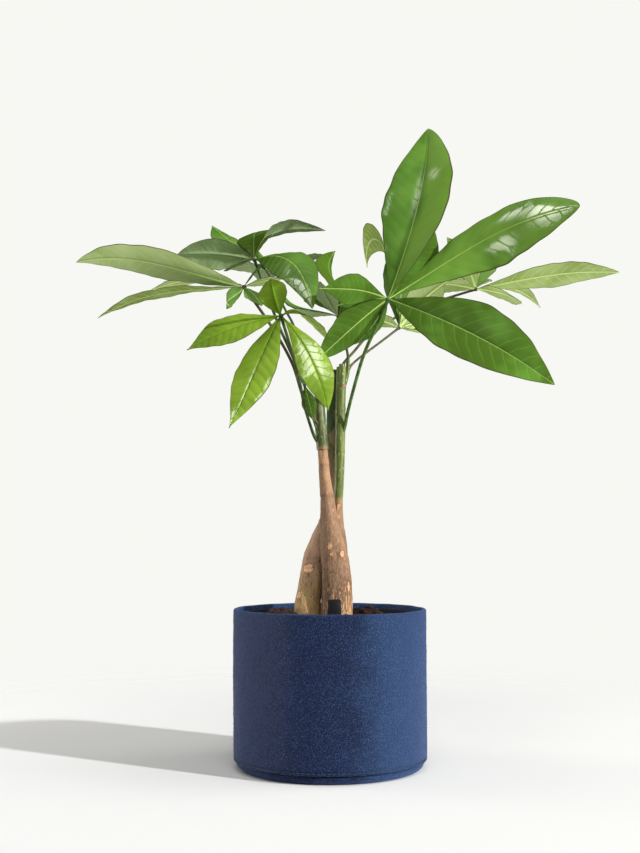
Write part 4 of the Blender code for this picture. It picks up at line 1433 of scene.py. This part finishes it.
LEAVES = (
    Leaf(
        "leaf_front_right",
        ((9.8, 2.4, 306), (13.8, -1, 315), (17, -9, 330), (23, -26, 353), (31, -42, 379), (43, -63, 405),
         (52, -70, 425)),
        1.7, (-78, 38), Foliage.GLOSSY, (
            Leaflet(80, 27, 179, 70, (0.05, 0.03), 0.07, -34, 16, 0.54, 0.8, -0.02, painted_light_right_half=0.34, wax=(
                (0.58, -0.09, 0.13, 0.10, 0.28), (0.68, 0.50, 0.035, 0.30, 0.28),
                (0.50, -0.85, 0.10, 0.08, 0.35),
                (0.28, -0.55, 0.10, 0.35, 0.25))),
            Leaflet(10, 36, 185, 67, (-0.12, -0.04), -0.16, 0, -4, 0.59, 0.7, 0.20, wax=(
                (0.89, -0.30, 0.13, 0.70, 1.0), (0.70, -0.62, 0.09, 0.33, 0.5),
                (0.88, 0.45, 0.06, 0.25, 0.35),
                (0.60, 0.50, 0.08, 0.40, 0.55))),
            Leaflet(-38, 6, 172, 65, (0.09, 0.12), 0.03, 15, 16, 0.54, 0.9, -0.23),
            Leaflet(-138, -24, 87, 32, (-0.02, 0.03), 0.02, -55, -8, 0.48, 0.8, -0.20),
            Leaflet(-156, 20, 78, 28, (-0.10, 0.12), 0.05, -62, 3, 0.58, 1.5, -0.20),
            Leaflet(168, -28, 49, 24, (0.03, 0.03), 0.04, tint_with_painted_light=-0.06),
            Leaflet(-150, -62, 54, 17, (0.04, 0.04), -0.04, -60, tint_with_painted_light=-0.06),
            Leaflet(65, 5, 111, 36, (0.04, 0.04), 0.02, tint_with_painted_light=-0.25),
        )),
    Leaf(
        "leaf_behind_right",
        ((16.4, 6.2, 367), (19.4, 9, 374), (24, 13, 379.5), (33, 22, 388), (50, 33, 402), (69, 45, 418)),
        1.2, (60, 55), Foliage.PALE_UNDER, (
            Leaflet(-112, 59, 93, 38, (0.06, 0.06), 0, -150),
            Leaflet(138, 55, 153, 40, (0.22, 0.09), -0.37, 14, 11, 0.48, 1.3, -0.25),
            Leaflet(-145, -22, 47, 26, (0.05, 0.05), -0.02),
            Leaflet(-55, 20, 70, 34, (0.08, 0.08), 0.02),
            Leaflet(28, 42, 86, 34, (0.05, 0.05)),
            Leaflet(84, 40, 122, 38, (0.03, 0.03), -0.02),
        )),
    Leaf(
        "leaf_far_right",
        ((11.4, 3.4, 366), (12.6, 9.5, 376), (17, 15, 383), (23, 24, 390.5), (42, 47, 414), (73, 72, 436),
         (115, 82, 453), (149, 70, 462)),
        1.4, (75, 60), Foliage.PALE_UNDER, (
            Leaflet(-5, 12, 146, 44, (0.01, 0.04), 0.03, 8, 5, 0.55, 0.9, -0.06),
            Leaflet(35, 17, 92, 28, (0.09, 0.16), 0.01, 24, 11, 0.50, 1.3),
            Leaflet(72, 62, 74, 32, (0.08, 0.08)),
            Leaflet(-139, -28, 58, 30, (0.06, 0.06), 0.04),
            Leaflet(-136, 36, 60, 34, (0.12, 0.12), -0.02),
            Leaflet(-43, -38, 75, 30, (0.06, 0.06), -0.02),
            Leaflet(91, 40, 123, 40, (0.12, 0.12)),
        )),
    Leaf(
        "leaf_far_left",
        ((-8, -3.8, 314), (-12.5, -8, 319), (-21, -14, 330), (-27, -22, 347), (-36, -30, 374),
         (-55, -36, 407), (-80, -35, 443)),
        1.5, (150, 72), Foliage.PALE_UNDER, (
            Leaflet(-179, 24, 158, 58, (-0.04, 0.04), -0.13, 7, 8, 0.52, 0.9, 0.08),
            Leaflet(-178, 2, 137, 50, (0.03, 0.10), -0.05, -11, 7, 0.60, 1.0, -0.25),
            Leaflet(137, 24, 130, 38, (0.08, 0.08), 0.04),
            Leaflet(-110, -31, 63, 18, (0.0, 0.16), 0.03, 63, 8, tint_with_painted_light=-0.25, flipped=True),
            Leaflet(130, 28, 52, 22, (0.06, 0.06), 0.02),
            Leaflet(-57, -56, 34, 20, (0.05, 0.05), -0.02),
            Leaflet(29, 39, 40, 20, (0.05, 0.05), 0.04),
            Leaflet(6, -1, 37, 20, (0.05, 0.05), 0.04),
        )),
    Leaf(
        "leaf_upper_left",
        ((-9.2, -3, 326), (-14, -3.5, 333), (-20, -6, 343), (-27, -10, 362), (-36, -12, 383), (-50, -13, 415),
         (-72, -8, 475)),
        1.5, (120, 70), Foliage.DUSKY, (
            Leaflet(-178, 13, 73, 34, (0.01, 0.0), -0.05, 29, 2, 0.50, 0.8, 0.22),
            Leaflet(128, 52, 91, 35, (-0.02, -0.01), 0.01, -8, -2, 0.54, 1.1, -0.02),
            Leaflet(31, 28, 102, 32, (0.20, 0.21), -0.08, -2, 16, 0.48, 0.9, -0.25),
            Leaflet(-56, -52, 118, 40, (0.13, 0.16), -0.11, 34, -4, 0.48, 0.8, 0.0, wax=(
                (0.77, 0.05, 0.18, 0.75, 0.9),)),
            Leaflet(-126, -30, 50, 28, (0.05, 0.05), 0.06),
            Leaflet(79, 43, 104, 38, (0.12, 0.12), tint_with_painted_light=-0.25),
        )),
    Leaf(
        "leaf_front_left",
        ((-7.6, -4.1, 297), (-14, -7.6, 304.5), (-19, -21.5, 317), (-24, -44, 333), (-28, -62, 352),
         (-35, -75, 378), (-44, -85, 407)),
        1.5, (-110, 42), Foliage.LIME, (
            Leaflet(-151, 10, 91, 35, (0.05, 0.05), 0.01, -10, 9, 0.56, 1.4, -0.25),
            Leaflet(-117, -15, 118, 36, (0.04, 0.0), -0.01, -7, 3, 0.53, 1.3, 0.0, wax=(
                (0.74, 0.07, 0.24, 0.07, 1.0), (0.92, 0.30, 0.07, 0.50, 0.9),
                (0.66, -0.86, 0.14, 0.09, 0.8))),
            Leaflet(-70, -28, 101, 29, (0.04, 0.05), -0.06, -3, 2, 0.60, 1.0, -0.02, wax=(
                (0.57, 0.45, 0.29, 0.72, 0.8), (0.58, -0.50, 0.28, 0.62, 0.8))),
            Leaflet(-74, 59, 74, 25, (-0.01, 0.05), 0.02, -2, 5, 0.60, 0.8, -0.12, True),
            Leaflet(46, -55, 72, 26, (0.21, 0.06), -0.04, 3, 10, 0.57, 1.1, -0.06),
        )),
    Leaf(
        "leaf_middle",
        ((17.5, 6.2, 375), (17.2, 5.6, 385), (14, -1, 399), (10, -8, 411), (8, -12, 419)),
        1.2, (-90, 70), Foliage.DUSKY, (
            Leaflet(92, 39, 86, 34, (0.19, -0.18), -0.07, 55, -12, 0.60, 1.0, -0.25),
            Leaflet(143, 15, 71, 28, (0.01, -0.17), -0.01, 27, -12, 0.60, 1.1, 0.02),
            Leaflet(-129, 53, 46, 28, (0.05, 0.05), 0.08),
            Leaflet(11, 41, 33, 24, (0.05, 0.05), 0.16),
            Leaflet(82, -4, 107, 34, (0.12, 0.12)),
            Leaflet(106, -3, 100, 34, (0.12, 0.12)),
        )),
    Leaf(
        "leaf_back",
        ((-9.8, -2.6, 339), (-11, 3.5, 347), (-16, 12, 361), (-26, 24, 393), (-36, 34, 420), (-45, 42, 438),
         (-62, 50, 476)),
        1.3, (90, 65), Foliage.DUSKY, (
            Leaflet(6, 23, 64, 30, (-0.03, 0.06), 0.03, 19, 3, 0.59, 1.0, -0.1),
            Leaflet(136, 67, 35, 20, (0.05, 0.05), -0.06),
            Leaflet(145, 27, 68, 30, (0.10, 0.10)),
            Leaflet(96, 30, 116, 38, (0.12, 0.12)),
            Leaflet(69, 26, 95, 36, (0.12, 0.12), 0.02),
        )),
    Leaf(
        "leaf_young",
        ((-7.4, -4, 306), (-11.5, -9, 310), (-16, -15, 322), (-20, -22, 339), (-24, -22, 353)),
        0.9, (-100, 50), Foliage.DUSKY, (
            Leaflet(-76, -49, 34, 14, (0.05, 0.05), tint_with_painted_light=0.16),
            Leaflet(-94, 61, 26, 11, (0.05, 0.05), 0.02, tint_with_painted_light=-0.2),
            Leaflet(-23, 35, 24, 12, (0.05, 0.05), -0.08, tint_with_painted_light=-0.2),
        )),
)


@dataclass
class LeafMaker:
    """Makes each leaf's finer mesh: thin puckered blades, a round stalk and the hub between them."""

    row_mm: float = 1.9
    thick_edge: float = 0.45
    thick_rib: float = 0.8
    pucker: float = 0.05
    calm: float = 0.45
    frill: float = 0.22
    vein_gap: float = 0.052
    columns: tuple[float, ...] = (
        0.0, 0.035, 0.08, 0.14, 0.22, 0.31, 0.41, 0.52, 0.63, 0.74, 0.84, 0.92, 0.97, 1.0)

    def plane(self, face: tuple[float, float]) -> tuple[np.ndarray, np.ndarray, np.ndarray]:
        """Lays out the plane of a leaf.

        Args:
            face: the bearing and the rise of the way its upper side looks.

        Returns:
            Unit vectors level and upward in the plane, and the way its upper side looks.
        """
        out = heading(*face)
        level = unit(np.array([1.0, 0.0, 0.0]) - out[0] * out)
        return level, np.cross(out, level), out

    def half_width(self, t: np.ndarray, leaflet: Leaflet) -> np.ndarray:
        """Half the blade's width at each share of its length.

        Args:
            t: the shares of its length.
            leaflet: its measures.

        Returns:
            The half widths, never less than the stalk's.
        """
        skew = math.log(0.5) / math.log(leaflet.peak)
        swell = np.maximum(0.0, np.sin(math.pi * t ** skew))
        past = np.maximum(0.0, (t - leaflet.peak) / (1 - leaflet.peak))
        least = LEAFLET_STALK * (1.0 - 0.55 * t)
        return np.maximum(least, leaflet.width / 2 * swell ** (1 + (leaflet.tip - 1) * past))

    def waxed(self, t: np.ndarray, share: np.ndarray, leaflet: Leaflet) -> np.ndarray:
        """How waxy the blade is at each share of its length and half width.

        Args:
            t: the shares of its length.
            share: the shares of its half width.
            leaflet: its measures.

        Returns:
            The wax for each pair of shares.
        """
        wax = np.zeros((len(t), len(share)))
        for along, aside, far, wide, strength in leaflet.wax:
            zone = ((t[:, None] - along) / far) ** 2 + ((share[None, :] - aside) / wide) ** 2
            wax = np.maximum(wax, strength * np.exp(-zone ** 2))
        return wax

    def midrib(
        self, hub: np.ndarray, leaf: Leaf, leaflet: Leaflet, t: np.ndarray
    ) -> tuple[np.ndarray, np.ndarray, np.ndarray]:
        """Follows a leaflet's midrib, and the ways across the blade and out of its upper side.

        Args:
            hub: where the leaflets meet.
            leaf: the leaf that it belongs to.
            leaflet: its measures.
            t: the shares of its length to read it at.

        Returns:
            For each share a point and two unit vectors.
        """
        level, upward, out = self.plane(leaf.face)
        fan, tilt = math.radians(leaflet.fan), math.radians(leaflet.tilt)
        line = math.cos(tilt) * (math.cos(fan) * level + math.sin(fan) * upward) + math.sin(tilt) * out
        top = turned(unit(out - out.dot(line) * line), line, math.radians(leaflet.roll))
        side = np.cross(line, top)
        size = leaflet.length
        # Two handles that both stand off by 4/3 of a share carry the middle of the curve off by that share
        lift = 4 / 3 * size
        handles = [
            hub + line * size * share + top * arch * lift + side * leaflet.bow * lift
            for share, arch in zip((1 / 3, 2 / 3), leaflet.arch)]
        corners = (hub, *handles, hub + line * size)
        s = 1 - t
        curve = [s ** 3, 3 * s * s * t, 3 * s * t * t, t ** 3]
        middle = sum(weight[:, None] * corner for weight, corner in zip(curve, corners))
        pulls = [after - before for before, after in zip(corners, corners[1:])]
        along = unit(sum(
            weight[:, None] * pull for weight, pull in zip((s * s, 2 * s * t, t * t), pulls)))
        across = unit(side - (along @ side)[:, None] * along)
        return middle, across, np.cross(across, along)

    @staticmethod
    def sheets(rows: int, wide: int) -> tuple[list[tuple[int, ...]], list[tuple[int, ...]]]:
        """Faces over two grids of points, one above the other.

        Args:
            rows: how many faces a grid has along the blade.
            wide: how many points it has across.

        Returns:
            The upper sheet's faces, then those of the lower sheet and of the margin that joins both.
        """
        count = (rows + 1) * wide
        upper, lower = [], []
        for row in range(rows):
            for column in range(wide - 1):
                a = row * wide + column
                b, c, d = a + 1, a + wide + 1, a + wide
                upper.append((a, b, c, d))
                lower.append((count + d, count + c, count + b, count + a))
        rim = [row * wide for row in range(rows + 1)]
        rim += [rows * wide + column for column in range(1, wide)]
        rim += [row * wide + wide - 1 for row in range(rows - 1, -1, -1)]
        rim += list(range(wide - 2, 0, -1))
        margin = [(after, here, count + here, count + after) for here, after in zip(rim, rim[1:] + rim[:1])]
        return upper, lower + margin

    def blade(self, surface: Surface, hub: np.ndarray, leaf: Leaf, leaflet: Leaflet, number: int) -> None:
        """Adds one leaflet as two close sheets joined along the margin.

        Args:
            surface: the leaf's surface.
            hub: where the leaflets meet.
            leaf: the leaf that it belongs to.
            leaflet: its measures.
            number: its place in the leaf, which also seeds its small differences.
        """
        size = leaflet.length
        rows = max(14, round(size / self.row_mm))
        t = np.linspace(0, 1, rows + 1)
        middle, across, over = self.midrib(hub, leaf, leaflet, t)
        draw = random.Random(f"{leaf.name} {number}")
        shift = draw.uniform(0, 100)
        share = np.array([-value for value in reversed(self.columns[1:])] + list(self.columns))
        side_sign = np.where(share > 0, 1.0, -1.0)
        reach = self.half_width(t, leaflet)[:, None] * np.ones_like(share)[None, :]
        slack = np.sin(math.pi * np.clip(t, 0, 1))[:, None] ** 0.6
        # The margin wanders in two lengths of wave, a little apart on the two sides
        edge = 0.018 * np.sin(math.tau * (3.3 * t[:, None] + 0.17 * side_sign[None, :]) + shift)
        edge += 0.012 * np.sin(math.tau * (7.1 * t[:, None] - 0.23 * side_sign[None, :]) + 1.7 * shift)
        reach = reach * (1 + edge * slack)
        fold = math.radians(leaflet.fold)
        small = np.minimum(1.0, reach / 10)
        wave = self.calm * BLADE_WAVE * share ** 2 * np.sin(
            math.tau * 3 * t[:, None] + np.where(share > 0, 1.3, 0.0)[None, :])
        frill = self.frill * np.abs(share) ** 3 * np.sin(
            math.tau * 8.5 * t[:, None] + shift + 2.1 * side_sign[None, :])
        # The skin swells between side veins that slant forwards, half a step apart on the two sides
        run = t[:, None] * size
        apart = self.vein_gap * size * 1.1 + 2.0
        away = np.abs(share)[None, :] * reach
        vein = (run - 0.50 * away - 0.012 * away ** 2) / apart + 0.5 * (side_sign[None, :] > 0)
        dome = np.abs(np.sin(math.pi * vein)) ** 0.8 - 0.6
        bulge = self.pucker * (1.3 if leaf.look is Foliage.LIME else 1.0)
        dome = bulge * dome * np.minimum(1.0, away / 3.0) * (1 - np.abs(share)[None, :] ** 6) * small
        # The upper side sinks along the midrib, and the underside stands out below it
        groove = -0.35 * np.exp(-(away / 1.1) ** 2) * small
        rise = reach * (math.sin(fold) * np.abs(share) - BLADE_CURL * share ** 2) + (wave + frill) * small
        rise = rise + dome + groove
        flat = (reach * share * math.cos(fold))[..., None]
        grid = middle[:, None, :] + across[:, None, :] * flat + over[:, None, :] * rise[..., None]
        normals = unit(np.cross(np.gradient(grid, axis=1), np.gradient(grid, axis=0)))
        rib = np.exp(-(away / 1.0) ** 2) * (1 - 0.75 * t[:, None])
        thicker = (self.thick_rib - self.thick_edge) * np.maximum(0, 1 - 2 * np.abs(share))
        depth = (self.thick_edge + thicker) / 2
        upper = grid + normals * depth[None, :, None]
        lower = grid - normals * (depth[None, :] + 0.8 * rib * small)[..., None]
        spots = np.stack(
            [away * side_sign[None, :], run * np.ones_like(away), np.full_like(away, shift)], axis=-1)
        # The third share is the leaflet's tint, with a painted light added on its right half
        shares = np.stack([
            share[None, :] * np.ones_like(away), t[:, None] * np.ones_like(away),
            leaflet.tint_with_painted_light + leaflet.painted_light_right_half * np.clip(3 * share, 0, 1)[None, :] * np.ones_like(away)], axis=-1)
        values = {
            "blade_mm": np.tile(spots.reshape(-1, 3), (2, 1)).tolist(),
            "blade_share": np.tile(shares.reshape(-1, 3), (2, 1)).tolist(),
            "vein_place": np.tile(vein.ravel(), 2).tolist(),
            "wax": np.tile(self.waxed(t, share, leaflet).ravel(), 2).tolist(),
        }
        start = len(surface.points)
        points = list(upper.reshape(-1, 3)) + list(lower.reshape(-1, 3))
        upper_faces, lower_faces = self.sheets(rows, len(share))
        surface.add(points, upper_faces, 1 if leaflet.flipped else 0, **values)
        surface.faces += [tuple(start + corner for corner in face) for face in lower_faces]
        surface.finish += [0 if leaflet.flipped else 1] * len(lower_faces)

    def stalk(self, surface: Surface, leaf: Leaf) -> None:
        """Adds the stalk, swollen at both ends, and the hub.

        Args:
            surface: the leaf's surface.
            leaf: the leaf that it carries.
        """
        coarse = 2 * len(leaf.stalk) - 4
        radii = [leaf.stalk_radius * share for share in (1.5, 1.15)]
        radii += [leaf.stalk_radius] * (len(leaf.stalk) - 2)
        line, thick = smooth_line(leaf.stalk, radii, coarse * 5)
        away = np.linalg.norm(line - line[-1], axis=1)
        thick = thick * (0.94 + 0.28 * np.exp(-(away / 4.0) ** 2))
        add_tube(surface, line, thick, 16, finish=2)
        hub = np.array(leaf.stalk[-1], float)
        radius = min(HUB_RADIUS, HUB_SWELL * leaf.stalk_radius)
        level, upward, out = self.plane(leaf.face)
        turns, tiers = 20, 9
        rings = []
        for tier in range(tiers + 1):
            lean = math.pi * tier / tiers
            width = max(0.02, math.sin(lean)) * radius
            rise = out * math.cos(lean) * radius * 0.85
            for turn in (math.tau * step / turns for step in range(turns)):
                reach = width * (1 + 0.08 * math.cos(6 * turn))
                rings.append(hub + rise + reach * (math.cos(turn) * level + math.sin(turn) * upward))
        faces = [tuple(reversed(face)) for face in turned_faces(tiers + 1, turns, closed=False)]
        faces += [tuple(range(turns)), tuple(range((tiers + 1) * turns - 1, tiers * turns - 1, -1))]
        surface.add(rings, faces, 2)

    def make(self, leaf: Leaf, finishes: Sequence[bpy.types.Material]) -> bpy.types.Object:
        """Builds a whole leaf as one piece.

        Args:
            leaf: the leaf to build.
            finishes: its upper skin, its underside and its stalk.

        Returns:
            The new object.
        """
        surface = Surface()
        hub = np.array(leaf.stalk[-1], float)
        self.stalk(surface, leaf)
        for number, leaflet in enumerate(leaf.leaflets):
            self.blade(surface, hub, leaf, leaflet, number)
        return surface.build(leaf.name + "_fine", finishes, 70.0)


@dataclass(frozen=True)
class SoftBox:
    """A soft box: where it stands, what it points at and how large it is in metres, and its watts."""

    name: str
    spot: tuple[float, float, float]
    aim: tuple[float, float, float]
    size: tuple[float, float]
    power: float


@dataclass(frozen=True)
class GlossCard:
    """A card that shows as gloss alone: its bearing from +X and its rise in degrees, size and brightness."""

    name: str
    bearing: float
    rise: float
    size: tuple[float, float]
    bright: float


@dataclass
class Studio:
    """White paper sweep, soft boxes and the camera at the photograph's angle."""

    eye: tuple[float, float, float] = (-0.0094, -1.140, 0.219)
    look_up: float = 4.862
    lens: float = 50.9
    paper: str = "#f7f8f3"
    paper_reach: float = 1300.0
    ambient: float = 0.385
    ambient_tone: str = "#f8fafe"
    lamp_tone: str = "#fffaf2"
    card_distance: float = 2.2
    key_bearing: float = -31.0
    key_rise: float = 21.5
    key_strength: float = 4.7
    key_spread: float = 2.6
    boxes: tuple[SoftBox, ...] = (
        SoftBox("front_top_box", (0.07, -1.84, 2.72), (0.0, 0.0, 0.4), (1.45, 1.30), 33.5),
        SoftBox("left_box", (-1.7, 0.15, 1.9), (0.0, 0.0, 0.45), (0.90, 0.90), 4.5),
        SoftBox("right_box", (1.7, 0.25, 1.9), (0.0, 0.0, 0.2), (0.90, 0.90), 15.0),
        SoftBox("right_low_box", (1.55, -0.45, 0.22), (0.0, 0.0, 0.06), (0.5, 0.4), 11.0),
        SoftBox("left_edge_box", (-1.5, 0.5, 0.22), (0.0, 0.0, 0.1), (0.4, 0.36), 11.0),
    )
    cards: tuple[GlossCard, ...] = (
        GlossCard("left_card", -163.0, 39.0, (0.9, 0.7), 11.0),
        GlossCard("front_card", -97.0, 45.0, (1.0, 0.8), 8.0),
        GlossCard("middle_card", -133.0, 56.0, (0.9, 0.8), 9.0),
        GlossCard("back_card", 158.0, 57.0, (0.9, 0.8), 9.0),
    )

    def camera(self) -> None:
        """Puts the camera where the photograph was taken from."""
        lens = bpy.data.cameras.new("portrait")
        lens.lens = self.lens
        lens.sensor_width = 36.0
        lens.clip_end = 50.0
        stand = bpy.data.objects.new("portrait", lens)
        stand.location = self.eye
        stand.rotation_euler = (math.radians(90.0 + self.look_up), 0.0, 0.0)
        bpy.context.scene.collection.objects.link(stand)
        bpy.context.scene.camera = stand

    def sweep(self) -> None:
        """Rolls the paper out as the floor."""
        paper = Surface()
        reach = self.paper_reach
        corners = [(-reach, -reach, 0), (reach, -reach, 0), (reach, reach, 0), (-reach, reach, 0)]
        paper.add(corners, [(0, 1, 2, 3)])
        item = paper.build("paper_sweep", [PaperSweep("white_studio_paper", 0.9).material()])
        item.location.z = -0.0002

    def lamp(self, box: SoftBox) -> bpy.types.Object:
        """Adds a soft box.

        Args:
            box: its measures.

        Returns:
            The light.
        """
        light = bpy.data.lights.new(box.name, "AREA")
        light.color = linear(self.lamp_tone)[:3]
        light.shape = "RECTANGLE"
        light.size, light.size_y = box.size
        light.energy = box.power
        item = bpy.data.objects.new(box.name, light)
        item.location = box.spot
        item.rotation_euler = (Vector(box.aim) - Vector(box.spot)).to_track_quat("-Z", "Y").to_euler()
        bpy.context.scene.collection.objects.link(item)
        return item

    def gloss_card(self, card: GlossCard) -> None:
        """Adds a bright card that shows as gloss alone and lights no matt surface.

        Args:
            card: its measures.
        """
        middle = Vector((0.0, 0.0, 0.4))
        spot = middle + self.card_distance * Vector(heading(card.bearing, card.rise))
        power = card.bright * math.pi * card.size[0] * card.size[1]
        self.lamp(SoftBox(card.name, tuple(spot), tuple(middle), card.size, power)).visible_diffuse = False

    def far_key(self) -> None:
        """Adds a far soft key light that reaches the whole paper evenly."""
        key = bpy.data.lights.new("far_key", "SUN")
        key.energy = self.key_strength
        key.angle = math.radians(self.key_spread)
        item = bpy.data.objects.new("far_key", key)
        away = Vector(heading(self.key_bearing, self.key_rise))
        item.rotation_euler = away.to_track_quat("Z", "Y").to_euler()
        bpy.context.scene.collection.objects.link(item)

    def surround(self) -> None:
        """Makes the room: white behind the plant, and dimmer for what falls on it."""
        room = bpy.data.worlds.new("studio_room")
        bpy.context.scene.world = room
        room.use_nodes = True
        tree = room.node_tree
        seen = add_node(tree, Kind.BACKGROUND, self.paper, 1.0)
        dim = add_node(tree, Kind.BACKGROUND, self.ambient_tone, self.ambient)
        ray = add_node(tree, Kind.RAY)
        both = add_node(tree, Kind.EITHER, ray.outputs["Is Camera Ray"], dim, seen)
        feed(tree.nodes["World Output"].inputs["Surface"], both)

    def light(self) -> None:
        """Lights the plant softly from the right, from above the camera, and from behind on both sides."""
        bpy.context.scene.view_settings.view_transform = "Standard"
        self.surround()
        self.far_key()
        for box in self.boxes:
            self.lamp(box)
        for card in self.cards:
            self.gloss_card(card)


FELT = NeedledFelt("needled_wool_felt", 0.44)
STEMS: dict[str, tuple[str, tuple[Stem, ...], Finish]] = {
    # The left trunk's bark is a lighter copy: painted light that offsets the shade the front trunk casts on
    # it
    "trunk_left": ("bark", (TRUNK_LEFT,), TrunkBark(
        "left_trunk_bark_lightened", 0.85, low="#c3a171", middle="#ba967c", high="#b9957e", crack="#5f4329",
        moss="#ada35c", moss_share=0.7, dark_z=325.0, fresh="#ffcda2", healing="#d1895c", fleck="#cfa070")),
    "trunk_front": ("bark", (TRUNK_FRONT,), TrunkBark("front_trunk_bark", 0.85)),
    "trunk_back": ("bark", (TRUNK_BACK,), TrunkBark(
        "back_trunk_bark", 0.85, fresh="#ab8866", healing="#8a694d")),
    "stem_right": ("green_stem", (STEM_RIGHT, SIDE_SHOOT, CUT_KNOB), YoungBark(
        "stem_right_young_bark", 0.42, shade="#34421c", body="#54612b", lit="#717e3f",
        brown_z=BACK_BARK_LINE)),
    "stem_left": ("green_stem", (STEM_LEFT,), YoungBark(
        "stem_left_young_bark", 0.42, shade="#2a3519", body="#4d542e", lit="#6c7545",
        brown_z=FRONT_BARK_LINE)),
}
LOOKS: dict[Foliage, tuple[LeafSkin, LeafSkin, StalkSkin]] = {
    Foliage.GLOSSY: (
        LeafSkin("waxy_leaf_upper", 0.40),
        LeafSkin(
            "leaf_underside", 0.55, shade="#647e44", body="#849e5a", lit="#a2b775", rib="#c9dc94",
            vein="#bdd088", rib_width=0.9, vein_strength=0.6, raised=True, gloss=0.0),
        StalkSkin("green_leaf_stalk", 0.45)),
    Foliage.LIME: (
        LeafSkin(
            "waxy_young_leaf_upper", 0.38, shade="#587321", body="#74922d", lit="#8aaa35", rib="#4f6c10",
            margin="#5a5030", vein="#5d7f10", vein_width=0.046, vein_strength=0.34, relief_mm=0.35),
        LeafSkin(
            "young_leaf_underside", 0.5, shade="#7d9a3c", body="#9ab352", lit="#b5c973", rib="#d7e6a2",
            vein="#cbdc90", vein_strength=0.6, raised=True, gloss=0.0),
        StalkSkin("lime_leaf_stalk", 0.45, shade="#2c3a18", body="#435524")),
    Foliage.PALE_UNDER: (
        LeafSkin("waxy_leaf_upper_far", 0.42, shade="#4b6a30", body="#5f8040", lit="#7c9c54"),
        LeafSkin(
            "pale_leaf_underside", 0.5, shade="#90a555", body="#bfd587", lit="#d8e8a8", rib="#e4ffa4",
            vein="#e0f4a8", rib_width=1.3, vein_width=0.036, vein_strength=0.55, raised=True, gloss=0.0,
            hub_shade=0.15),
        StalkSkin("pale_leaf_stalk", 0.45, shade="#37371f", body="#524e2d")),
    Foliage.DUSKY: (
        LeafSkin("waxy_leaf_upper_dusky", 0.42, shade="#3c5517", body="#486928", lit="#62833a", rib="#86a352",
                 relief_mm=0.4),
        LeafSkin(
            "dusky_leaf_underside", 0.6, shade="#6c7f56", body="#8da171", lit="#a7b989", rib="#9aab7d",
            vein="#a1b382", rib_width=0.4, vein_strength=0.3, raised=True, gloss=0.0),
        StalkSkin("dusky_leaf_stalk", 0.5, shade="#2f3f1e", body="#465a2d")),
}


def keep(item: bpy.types.Object, slot: str, *nodes: str) -> None:
    """Fixes a piece to the plant and lets it stand for solids.

    Args:
        item: the piece.
        slot: the record's material slot; not used.
        nodes: the solids that it stands for.
    """
    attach(item, "root")
    if nodes:
        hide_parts(*nodes)
    LOG.info("%s: %d faces, stands for %s", item.name, len(item.data.polygons), ", ".join(nodes) or "nothing")


def main() -> None:
    """Builds and dresses the plant, then sets up the studio."""
    logging.basicConfig(level=logging.INFO, format="%(name)s %(message)s")
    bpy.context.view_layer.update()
    Studio().camera()
    felt = FELT.material()
    planter = FeltPlanter()
    keep(planter.wall().build("felt_wall_fine", [felt], 60.0), "felt", FeltPanel.WALL.value)
    keep(planter.base().build("felt_base_fine", [felt], 60.0), "felt", FeltPanel.BASE.value)
    keep(planter.stitches().build("seam_thread", [SpunThread("navy_thread", 0.7).material()]), "felt")
    fibre = SpunThread("stray_fibre", 0.8, tone="#485c94").material()
    keep(planter.loose_fibres().build("felt_stray_fibres", [fibre]), "felt")
    pot = NurseryPot()
    plastic = MouldedPolypropylene("moulded_black_polypropylene", 0.62, dust="#241f1c").material()
    shell = pot.shell().build("nursery_pot_fine", [plastic], 40.0)
    floor = pot.floor_disc()
    floor.data.materials.append(plastic)
    keep(shell, "liner", "nursery_pot")
    keep(floor, "liner")
    soil = Soil()
    earth = PottingSoil("moist_potting_soil", 0.95).material()
    keep(soil.bed(pot).build("soil_bed", [earth], 60.0), "soil", "soil")
    keep(soil.loose().build("soil_crumbs", [earth], 80.0), "soil")
    tag = MouldedPolypropylene("tag_polystyrene", 0.38, tone="#17181a", dust="#2a2a2b")
    keep(PlantTag().plate().build("plant_tag", [tag.material()], 40.0), "label", "plant_label")
    end = CutWood("weathered_pruning_cut", 0.85).material()
    for name, (slot, stems, bark) in STEMS.items():
        surface = Surface()
        for stem in stems:
            stem.mesh(surface, 1)
        keep(surface.build(name + "_fine", [bark.material(), end], 45.0), slot, name)
    skins = {look: [finish.material() for finish in finishes] for look, finishes in LOOKS.items()}
    maker = LeafMaker()
    for leaf in LEAVES:
        keep(maker.make(leaf, skins[leaf.look]), "leaf", leaf.name)
    studio = Studio()
    studio.sweep()
    studio.light()


if __name__ == "__main__":
    main()
